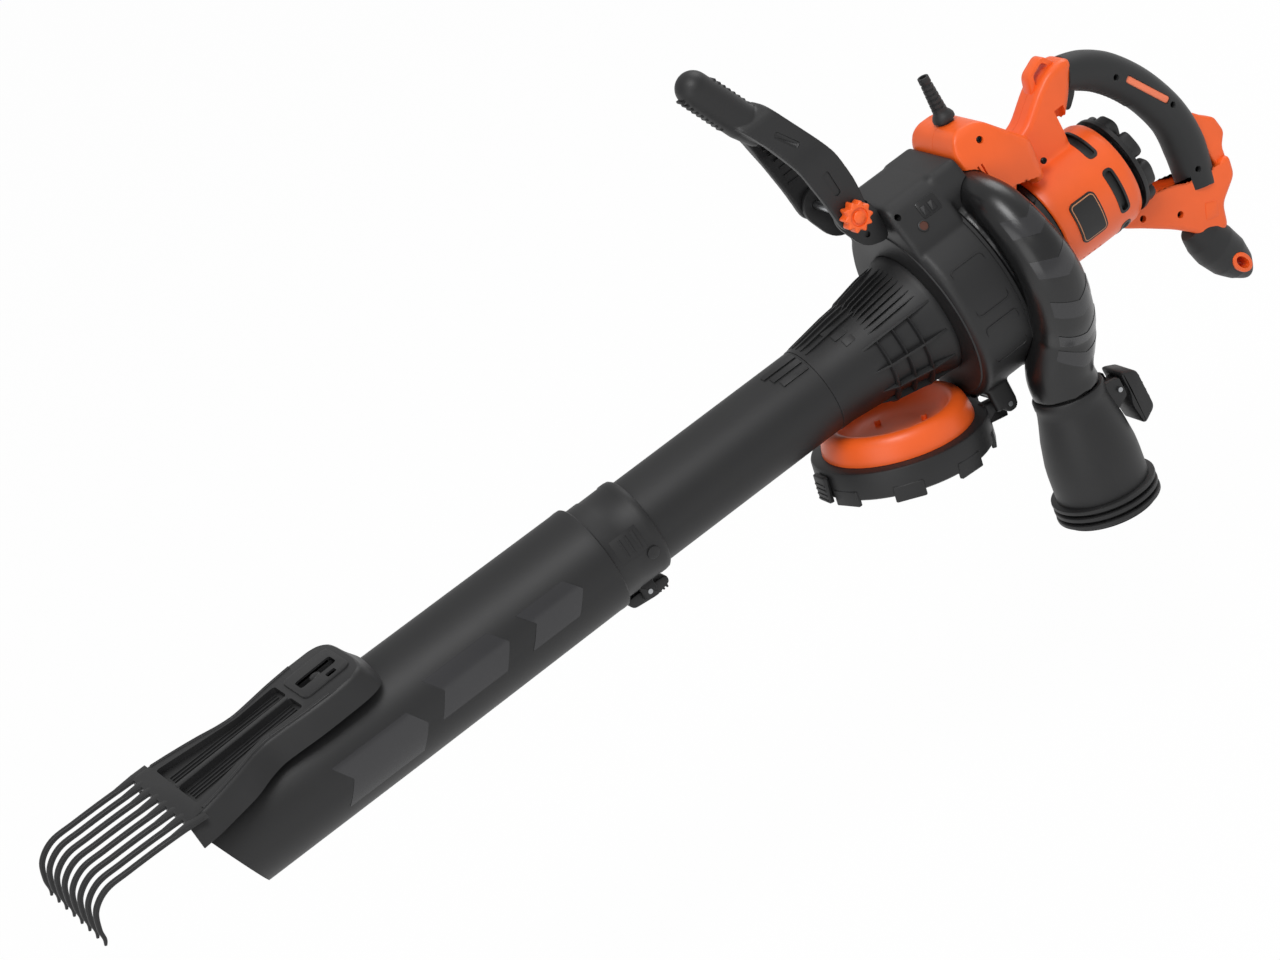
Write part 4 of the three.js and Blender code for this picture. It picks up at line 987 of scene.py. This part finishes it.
# ---- tubes ----
def build_tubes(size):
    r = size.tube * 1000
    cone = revolve([
        (r - 2.5, 165), (r + 0.6, 165), (r + 0.8, 150), (r + 4, 120), (51, 92), (58, 60), (62.5, 44),
        (64, 41), (64, 36.4), (56, 36.4), (56, 44), (53, 62), (r + 1, 118)])
    ribs, rails = [], []
    for first, last in ((62, 172), (-172, -62)):
        for x, skin in ((68, 57.4), (86, 53.2), (104, 50.6)):
            ribs.append(curved_pad(skin, x - 1.3, x + 1.3, first, last, 4.6, 30))
    for degrees in (62, 92, 122, 152, -62, -92, -122, -152):
        rails.append(turn_about_x(plate([(42, 46), (42, 63.4), (68, 61.6), (104, 54.8), (122, 47)], -1.2,
                                        1.2), degrees))
    for degrees in (2, 9, 16, 23, 30, 37, 44, 51, -12, -22, -32, -42):
        rails.append(turn_about_x(plate([(50, 46), (50, 61), (66, 60), (96, 54.4), (108, 48)], -0.6, 0.6),
                                  degrees))
    piece("inlet_cone", [cone, *ribs, *rails], "tube_black", replaced=["inlet_adapter"], bevel=0.3)
    tube = revolve([(r - 2.5, 165.3), (r, 165.3), (r, 470), (r - 2.5, 470)])
    piece("upper_pipe", [tube], "tube_black", replaced=["upper_tube"])
    pads = []
    for x0, x1, a in ((108, 136, 12), (168, 206, 4)):
        for i in range(3):
            pads.append(curved_pad(r + (3 if x0 < 150 else 0), x0, x1 - 4 * i, a + 13 * i, a + 9 + 13 * i,
                                   1.4))
    piece("tube_pads", pads, "tube_black")
    long_ribs = []
    for i in range(6):
        rib = plate([(100, r + 3), (100, r + 8.5), (118, r + 7), (160, r + 1.4), (160, r)], -1, 1)
        long_ribs.append(turn_about_x(rib, -35 + i * 11))
    piece("tube_crown_ribs", long_ribs, "tube_black")


def curved_pad(r, x0, x1, a0, a1, height, steps=10):
    """A low pad lying on a tube of radius r, between two angles in degrees."""
    grids = []
    for lift in (-0.6, height):
        rows = []
        for x in (x0, x0 + 1, x1 - 1, x1):
            reach = lift if x not in (x0, x1) else min(lift, height * 0.5)
            row = [Vector((x, *polar(r + reach, a0 + (a1 - a0) * i / steps))) for i in range(steps + 1)]
            rows.append(row)
        grids.append(rows)
    return thick_sheet(*grids)


def tube_chevron(r, x0, x1, a0, a1, lean=14, steps=24):
    """A polished patch on the lower tube, with both ends folded into a chevron."""
    grids = []
    for lift in (-0.4, 0.25):
        rows = []
        for j in range(9):
            row = []
            for i in range(steps + 1):
                u = i / steps
                fold = lean * (1 - abs(2 * u - 0.9))
                row.append(Vector((x0 + (x1 - x0) * j / 8 - fold, *polar(r + lift, a0 + (a1 - a0) * u))))
            rows.append(row)
        grids.append(rows)
    return thick_sheet(*grids)


def build_lower_tube(size):
    r = size.lower * 1000
    collar = revolve([
        (44.6, 377), (47, 377), (48.4, 378.5), (49, 382), (49, 387), (48.2, 389), (48.2, 412), (49, 414),
        (49, 458), (44.6, 458)])
    ears = [block(396, 412, *sorted((s * 14.5, s * 9.5)), -62, -46, 1.5) for s in (1, -1)]
    button = revolve([(0, 47), (6.4, 47), (6.4, 49.4), (5.6, 50), (0, 50.3)], Vector((0, 0.98, -0.2)),
                     (392, 0, 0), 32)
    plaque = [curved_pad(48.2, 394, 424, 62, 92, 1.1), curved_pad(48.2, 398, 402, 66, 88, 1.8),
              curved_pad(48.2, 406, 409, 66, 88, 1.8), curved_pad(48.2, 413, 416, 66, 88, 1.8)]
    piece("telescope_collar", [collar, *ears, button, *plaque], "tube_black", "lower", ["tube_collar"])
    tube = new_object("lower_pipe", revolve([
        (49.3, 430), (r - 1.4, 430), (r, 431.4), (r + 0.3, 436), (r, 441), (r + 0.6, 560), (r + 1, 660),
        (r + 1, 895), (r - 4, 895), (r - 3, 660), (49.6, 459)]))
    slope = math.tan(math.radians(21))
    mouth = [(886 + 20 * slope, r + 26), (960, r + 26), (960, -90), (886 - slope * (2 * r) - 20, -90),
             (886 - slope * 2 * r, -r)]
    boolean(tube, plate(mouth, -90, 90))
    present(tube, "tube_black", "lower", ["lower_tube"])
    stud = revolve([(0, 54), (6, 54), (6, 72.5), (5, 74), (3, 74.7), (0, 75)], Z, (708, 0, 0), 32)
    rails = [plate([(700, 48), (780, 48), (780, 61), (700, 64.4)], *sorted((s * 24, s * 20)), "side", 0.8)
             for s in (1, -1)]
    piece("rake_stud", [stud, *rails], "tube_black", "lower")
    patches = [tube_chevron(r + 0.6, 482, 536, 64, 104), tube_chevron(r + 0.8, 566, 640, 60, 104),
               tube_chevron(r + 1, 668, 752, 74, 122)]
    # the chevrons' lighter grey is a painted highlight
    piece("tube_chevrons", patches, "patch", "lower")
    lever = plate(rounded([(381, -55), (381, -63), (398, -67), (424, -64), (428, -56), (424, -53),
                           (404, -53)], 4),
                  -9, 9, "side", 1.6)
    pads = [block(384 + 4 * i, 386 + 4 * i, -7, 7, -67.4, -60, 0.8) for i in range(4)]
    piece("tube_latch_lever", [lever, *pads], "charcoal_shell", "latch", ["tube_latch"])


# ---- rake ----
PLATE_TOP = 67
RAKE_BACK, RAKE_FRONT = 672, 888
TINES, PITCH = 8, 21.4
DECK_EDGE = [(886, 74), (866, 71), (845, 65), (820, 56), (800, 47), (783, 43), (765, 45), (741, 49),
             (715, 51), (690, 50),
             (678, 41), (674, 22)]
SKIRT_EDGE = [(886, 83), (866, 81), (845, 76), (820, 69), (800, 58), (783, 52), (765, 53), (741, 56),
              (715, 57), (684, 56),
              (669, 46), (665, 24)]


def both_sides(edge):
    """An edge given for the left side, carried round the back to the right."""
    return [(x, y) for x, y in edge] + [(x, -y) for x, y in reversed(edge)]


def raise_back(bm):
    """Lifts the rake's deck towards its back, where it rides on the tube's rails."""
    for v in bm.verts:
        v.co.z += 8 * max(0.0, RAKE_FRONT - v.co.x) / (RAKE_FRONT - RAKE_BACK)
    return bm


def rake_skirt():
    """The S-curved side walls, one strip from the left front round the back to the right front."""
    top, foot = both_sides(DECK_EDGE), both_sides(SKIRT_EDGE)
    steps = 120
    outer, inner = [], []
    for k in range(steps + 1):
        t = k / steps
        high = catmull([(x, y, 0) for x, y in top], t)
        low = catmull([(x, y, 0) for x, y in foot], t)
        out = low - high
        out = out.normalized() if out.length > 0.1 else Vector((0, 1, 0))
        bottom = max(42.0, math.sqrt(max(0.0, 58 ** 2 - low.y ** 2)) - 5)
        rows = [(-4.0, PLATE_TOP - 0.4), (-1.5, PLATE_TOP - 0.2), (0.6, PLATE_TOP - 1.6),
                (1.6, PLATE_TOP - 4)]
        for depth, keep in ((outer, 0.0), (inner, 2.4)):
            line = [high + out * (a - keep) + Z * (z - keep * 0.8) for a, z in rows]
            for f in (0.35, 0.7, 1.0):
                line.append(high + (low - high) * f + out * (1.6 * (1 - f) - keep)
                            + Z * (PLATE_TOP - 4 + (bottom - PLATE_TOP + 4) * f))
            depth.append(line)
    return thick_sheet(inner, outer)


def build_rake(size):
    outline = rounded(both_sides(DECK_EDGE), 5)
    deck = new_object("rake_deck", plate(outline, 58.4, PLATE_TOP, "top", 1))
    window = block(686, 726, -9, 9, 40, 90, 3)
    tools = [window, block(693, 703, 17, 25, 40, 90, 1.5)]
    for s in (1, -1):
        tools.append(plate(rounded([(738, s * 4), (866, s * 4.5), (866, s * 54), (820, s * 42), (783, s * 33),
                                    (738, s * 36)], 5), 61, PLATE_TOP + 5, "top"))
    carve(deck, tools)
    piece("rake_deck", [raise_back(take_mesh(deck))], "charcoal_shell", "rake_head", ["rake"])
    piece("rake_skirts", [raise_back(rake_skirt())], "charcoal_shell", "rake_head")
    # painted shade: black sheets on the pits' floors and black strips along them, so that the pits read dark
    pit_shade_sheets = []
    for s in (1, -1):
        pit_shade_sheets.append(raise_back(plate([(739, s * 5), (865, s * 5), (865, s * 52), (820, s * 41),
                                        (783, s * 32), (739, s * 35)], 60.4, 61.4, "top")))
        for i in range(4):
            y = 9 + 6.5 * i
            pit_shade_sheets.append(raise_back(plate([(742, s * (y - 0.6)), (862, s * (y + 3.2)), (862, s * (y + 4.4)),
                                            (742, s * (y + 0.6))], 61, 62.6, "top")))
    piece("rake_pit_painted_shade", pit_shade_sheets, "trigger_black", "rake_head")
    boss = new_object("rake_boss", plate(rounded_box(680, 732, -30, 30, 9),
                                         PLATE_TOP - 2, PLATE_TOP + 2, "top", 1.4))
    carve(boss, [block(686, 726, -9, 9, 40, 90, 3), block(693, 703, 17, 25, 40, 90, 1.5)])
    rim = [edge_bead([(x, s * (y - 2.5)) for x, y in DECK_EDGE[1:-3]]) for s in (1, -1)]
    ridge = plate(rounded([(740, -3.5), (866, -4), (866, 4), (740, 3.5)], 2), PLATE_TOP - 2,
                  PLATE_TOP + 0.8, "top", 0.7)
    piece("rake_boss", [raise_back(take_mesh(boss)), raise_back(merge([*rim, ridge]))], "charcoal_shell",
          "rake_head")
    build_tines(size.tine * 1000)


def edge_bead(points):
    line = [(x, y, PLATE_TOP) for x, y in points]
    return sweep(line, [(1.1, 1.8), (1.1, 2), (1.1, 2), (1.1, 1.8)], Z, 16, 60)


def build_tines(width):
    tines = []
    for i in range(TINES):
        y = (i - (TINES - 1) / 2) * PITCH
        line = [(878, y, 64), (915, y, 65), (950, y, 65), (975, y, 64), (992, y, 54), (999, y, 38),
                (1000, y, 27), (1002.5, y, 21.5)]
        half = width / 2
        sizes = [(half, 2.6), (half, 2.4), (half * 0.92, 2.4), (half * 0.9, 2.6), (half * 0.85, 2.6),
                 (half * 0.75, 2.3), (half * 0.6, 1.9), (half * 0.4, 1.2)]
        tines.append(sweep(line, sizes, Y, 16, 44, 3.2))
    roots = [sweep([(868, y * PITCH, 64.5), (884, y * PITCH, 65), (905, y * PITCH, 65)],
                   [(9, 2), (7, 2.4), (3.4, 2)], Y, 16, 16, 3)
             for y in [k - (TINES - 1) / 2 for k in range(TINES)]]
    piece("rake_tines", tines + roots, "charcoal_shell", "rake_head")


# ---- intake cover, drawn shut about its hinge and swung open ----
COVER_OPEN = 78
COVER_ARM = 100


def open_cover(bm):
    turn = Matrix.Rotation(math.radians(COVER_OPEN), 3, "Y")
    for v in bm.verts:
        v.co = HINGE + turn @ v.co
    return bm


def build_cover(size):
    centre = (0, 0, COVER_ARM)
    cup = new_object("cover_cup", revolve([
        (62, -4), (83, -4), (86, -3), (87, -1), (87, 22.4), (85.4, 24), (20, 24), (20, 20.6), (84, 20.4),
        (84, 0), (62, 0)],
        X, centre, 120))
    tools = []
    for i in range(0, 16, 2):
        vent = plate(rounded([(-8, 30), (8, 30), (13, 78), (-13, 78)], 4), 12, 40, "end")
        bmesh.ops.rotate(vent, verts=vent.verts, matrix=Matrix.Rotation(math.radians(22.5 * i + 11), 3, "X"))
        bmesh.ops.translate(vent, verts=vent.verts, vec=centre)
        tools.append(vent)
    carve(cup, tools)
    teeth = []
    for degrees in (18, 62, 106, 150, 210, 254, 298, 342):
        tooth = block(14, 30, -15, 15, 82.6, 87.4, 1.4)
        turn_about_x(tooth, degrees)
        bmesh.ops.translate(tooth, verts=tooth.verts, vec=centre)
        teeth.append(tooth)
    arms = [block(-5, 16, s * 26 - 6, s * 26 + 6, -2, 22, 2) for s in (1, -1)]
    knuckles = [rod(7, -6, 6, Y, (0, s * 26, 0), 32) for s in (1, -1)]
    bars = [block(17, 21, -1.5, 1.5, 20, 84) for _ in range(8)]
    for i, bar in enumerate(bars):
        bmesh.ops.rotate(bar, verts=bar.verts, matrix=Matrix.Rotation(math.radians(45 * i + 33.5), 3, "X"))
        bmesh.ops.translate(bar, verts=bar.verts, vec=centre)
    trim = merge(teeth + arms + knuckles + bars)
    shell = new_object("cover_shell", open_cover(take_mesh(cup)))
    present(shell, "charcoal_shell", "cover", ["cover_ring"])
    piece("cover_teeth", [open_cover(trim)], "charcoal_shell", "cover", bevel=0.5)
    foot = -4.3
    bell = revolve([
        (0, foot), (75, foot), (75, foot - 2), (74.4, foot - 6), (71.5, foot - 16), (69.6, foot - 20.5),
        (67, foot - 23.4), (63.5, foot - 25), (60, foot - 25), (57, foot - 23.4), (54.5, foot - 20),
        (51, foot - 14), (46, foot - 9.4),
        (39, foot - 6.4), (30, foot - 5), (0, foot - 4)], X, centre, 120)
    studs = []
    for degrees in (40, 160, 280):
        y, z = polar(28, degrees)
        studs.append(revolve([(0, foot - 4), (3, foot - 4), (3, foot - 9), (2.2, foot - 10),
                              (0, foot - 10)], X,
                             (0, y, COVER_ARM + z), 20))
    piece("cover_dish", [open_cover(merge([bell, *studs]))], "orange_shell", "cover", ["cover_bell"])
    catch = block(0, 27, -11, 11, COVER_ARM + 87.3, COVER_ARM + 93, 2)
    ribs = [block(23 - 5 * i, 25 - 5 * i, -9, 9, COVER_ARM + 92, COVER_ARM + 93.9, 0.6) for i in range(4)]
    piece("cover_catch_tab", [open_cover(merge([catch, *ribs]))], "charcoal_shell", "cover", ["cover_catch"])


# ---- what stays as the frame made it ----
def finish_frame_nodes():
    """Finishes on the pins and inner parts whose frame shape is already right."""
    slot_of = {row["node"]: row["material_slot"] for row in frame["record"]["subparts"]}
    for name, obj in frame["nodes"].items():
        obj.data.materials.clear()
        obj.data.materials.append(MATERIALS[slot_of[name]])
        modifier = obj.modifiers.new("edge", "BEVEL")
        modifier.width = 0.0003
        modifier.limit_method = "ANGLE"


# ---- studio ----
EYE = Vector((1298.9, 3221.1, 1541.4))
LOOK_BACK = Vector((0.2566, 0.8754, 0.4096))
LOOK_UP = Vector((-0.5818, -0.1985, 0.7888))


def build_stage():
    scene = bpy.context.scene
    scene.view_settings.view_transform = "Standard"
    low, high = (Vector(c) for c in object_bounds())
    floor_mesh = bpy.data.meshes.new("floor")
    reach, drop = 30, 0.25
    bm = bmesh.new()
    bmesh.ops.create_grid(bm, x_segments=1, y_segments=1, size=reach)
    bm.to_mesh(floor_mesh)
    bm.free()
    floor = bpy.data.objects.new("floor", floor_mesh)
    floor.location.z = low.z - drop
    scene.collection.objects.link(floor)
    floor_mesh.materials.append(floor_paint())
    floor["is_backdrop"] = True
    build_world(scene)
    centre = (low + high) / 2
    add_lamp("key", centre + Vector((0.2, 1.6, 2.6)), centre, 1.2, 46)
    add_lamp("fill", centre + Vector((2.4, 2.0, 0.9)), centre, 2.0, 18)
    add_lamp("rim", centre + Vector((-2.2, -0.8, 2.0)), centre, 1.6, 24)
    build_camera(scene)


def floor_paint():
    """Matt white paint that meets the eye as plain white away from the object's shadow."""
    material = bpy.data.materials.new("white_backdrop_paint")
    material.use_nodes = True
    tree = material.node_tree
    bsdf = tree.nodes["Principled BSDF"]
    bsdf.inputs["Base Color"].default_value = (0.85, 0.85, 0.85, 1)
    bsdf.inputs["Roughness"].default_value = 0.9
    rays = add_node(tree, "ShaderNodeLightPath")
    seen = add_node(tree, "ShaderNodeMath", {"operation": "MAXIMUM"})
    tree.links.new(rays.outputs["Is Camera Ray"], seen.inputs[0])
    tree.links.new(rays.outputs["Is Glossy Ray"], seen.inputs[1])
    share = add_node(tree, "ShaderNodeMath", {"operation": "MULTIPLY"}, {0: seen.outputs[0]})
    share.inputs[1].default_value = 0.97
    glow = add_node(tree, "ShaderNodeEmission", {"Color": (1, 1, 1, 1), "Strength": 1.0})
    mix = add_node(tree, "ShaderNodeMixShader", None, {
        0: share.outputs[0], 1: bsdf.outputs["BSDF"], 2: glow.outputs["Emission"]})
    tree.links.new(mix.outputs[0], tree.nodes["Material Output"].inputs["Surface"])
    return material


def build_world(scene):
    world = bpy.data.worlds.new("studio_air")
    world.use_nodes = True
    background = world.node_tree.nodes["Background"]
    background.inputs["Color"].default_value = (1, 1, 1, 1)
    background.inputs["Strength"].default_value = 0.55
    scene.world = world


def add_lamp(name, place, target, size, power):
    data = bpy.data.lights.new(name, "AREA")
    data.size = size
    data.energy = power
    lamp = bpy.data.objects.new(name, data)
    lamp.location = place
    lamp.rotation_euler = (place - target).to_track_quat("Z", "Y").to_euler()
    bpy.context.scene.collection.objects.link(lamp)


def build_camera(scene):
    data = bpy.data.cameras.new("camera")
    data.lens = 112.5
    data.sensor_width = 36
    data.clip_end = 100
    camera = bpy.data.objects.new("camera", data)
    back = LOOK_BACK.normalized()
    right = LOOK_UP.cross(back).normalized()
    up = back.cross(right)
    turn = Matrix((right, up, back)).transposed().to_4x4()
    camera.matrix_world = Matrix.Translation(FAN_CENTRE + EYE / 1000) @ turn
    scene.collection.objects.link(camera)
    scene.camera = camera


# ---- operators ----
def operator(suffix, label, text, builder):
    """One operator that runs a builder with the scene's sizes."""
    def execute(self, context):
        builder(context.scene.mulcher_sizes)
        return {"FINISHED"}
    return type(f"MULCHER_OT_{suffix}", (bpy.types.Operator,), {
        "__doc__": text, "bl_idname": f"mulcher.{suffix}", "bl_label": label, "execute": execute})


class MULCHER_OT_finishes(bpy.types.Operator):
    """Makes every finish and puts it on the frame's own nodes"""
    bl_idname = "mulcher.finishes"
    bl_label = "Finishes"

    def execute(self, context):
        MATERIALS.update(make_materials(context.scene.mulcher_colours))
        finish_frame_nodes()
        return {"FINISHED"}


class MULCHER_OT_stage(bpy.types.Operator):
    """Adds the floor, lamps, world and camera"""
    bl_idname = "mulcher.stage"
    bl_label = "Studio"

    def execute(self, context):
        build_stage()
        return {"FINISHED"}


PIECES = [
    operator("casing", "Fan casing", "Builds the drum-shaped fan casing and its raised lines", build_casing),
    operator("volute", "Scroll duct", "Builds the scroll duct and its polished chevrons", build_volute),
    operator("outlet", "Bag outlet", "Builds the outlet cone, its rings and its latch", build_outlet),
    operator("housing", "Motor housing", "Builds both housing halves with vents, screws and panels",
             build_housing),
    operator("grip", "Main grip", "Builds the soft grip halves, inlays, ribs and trigger", build_grip),
    operator("tail", "Tail grip", "Builds the egg-shaped tail grip and its eyelet", build_tail),
    operator("guard", "Cord guard", "Builds the flexible cord guard", build_guard),
    operator("assist", "Assist handle", "Builds the forked assist handle and its lugs", build_assist),
    operator("knob", "Clamp knob", "Builds the fluted clamp knob", build_knob),
    operator("tubes", "Upper tube", "Builds the ribbed inlet cone and the upper tube", build_tubes),
    operator("lower_tube", "Lower tube", "Builds the collar, lower tube, patches and latch",
             build_lower_tube),
    operator("rake", "Rake", "Builds the rake's deck, skirts and tines", build_rake),
    operator("cover", "Intake cover", "Builds the open intake cover", build_cover),
]


class MULCHER_PT_panel(bpy.types.Panel):
    """Lists the sizes, colours and builders"""
    bl_idname = "MULCHER_PT_panel"
    bl_label = "Mulcher"
    bl_space_type = "VIEW_3D"
    bl_region_type = "UI"
    bl_category = "Mulcher"

    def draw(self, context):
        for group in (context.scene.mulcher_sizes, context.scene.mulcher_colours):
            for name in group.bl_rna.properties.keys()[2:]:
                self.layout.prop(group, name)
        for cls in [MULCHER_OT_finishes, *PIECES, MULCHER_OT_stage]:
            self.layout.operator(cls.bl_idname)


CLASSES = [MulcherSizes, MulcherColours, MULCHER_OT_finishes, *PIECES, MULCHER_OT_stage, MULCHER_PT_panel]


def register():
    for cls in CLASSES:
        bpy.utils.register_class(cls)
    bpy.types.Scene.mulcher_sizes = bpy.props.PointerProperty(type=MulcherSizes)
    bpy.types.Scene.mulcher_colours = bpy.props.PointerProperty(type=MulcherColours)


def unregister():
    del bpy.types.Scene.mulcher_colours
    del bpy.types.Scene.mulcher_sizes
    for cls in reversed(CLASSES):
        bpy.utils.unregister_class(cls)


def main():
    register()
    bpy.ops.mulcher.finishes()
    for cls in PIECES:
        getattr(bpy.ops.mulcher, cls.bl_idname.split(".")[1])()
    bpy.ops.mulcher.stage()


if __name__ == "__main__":
    main()
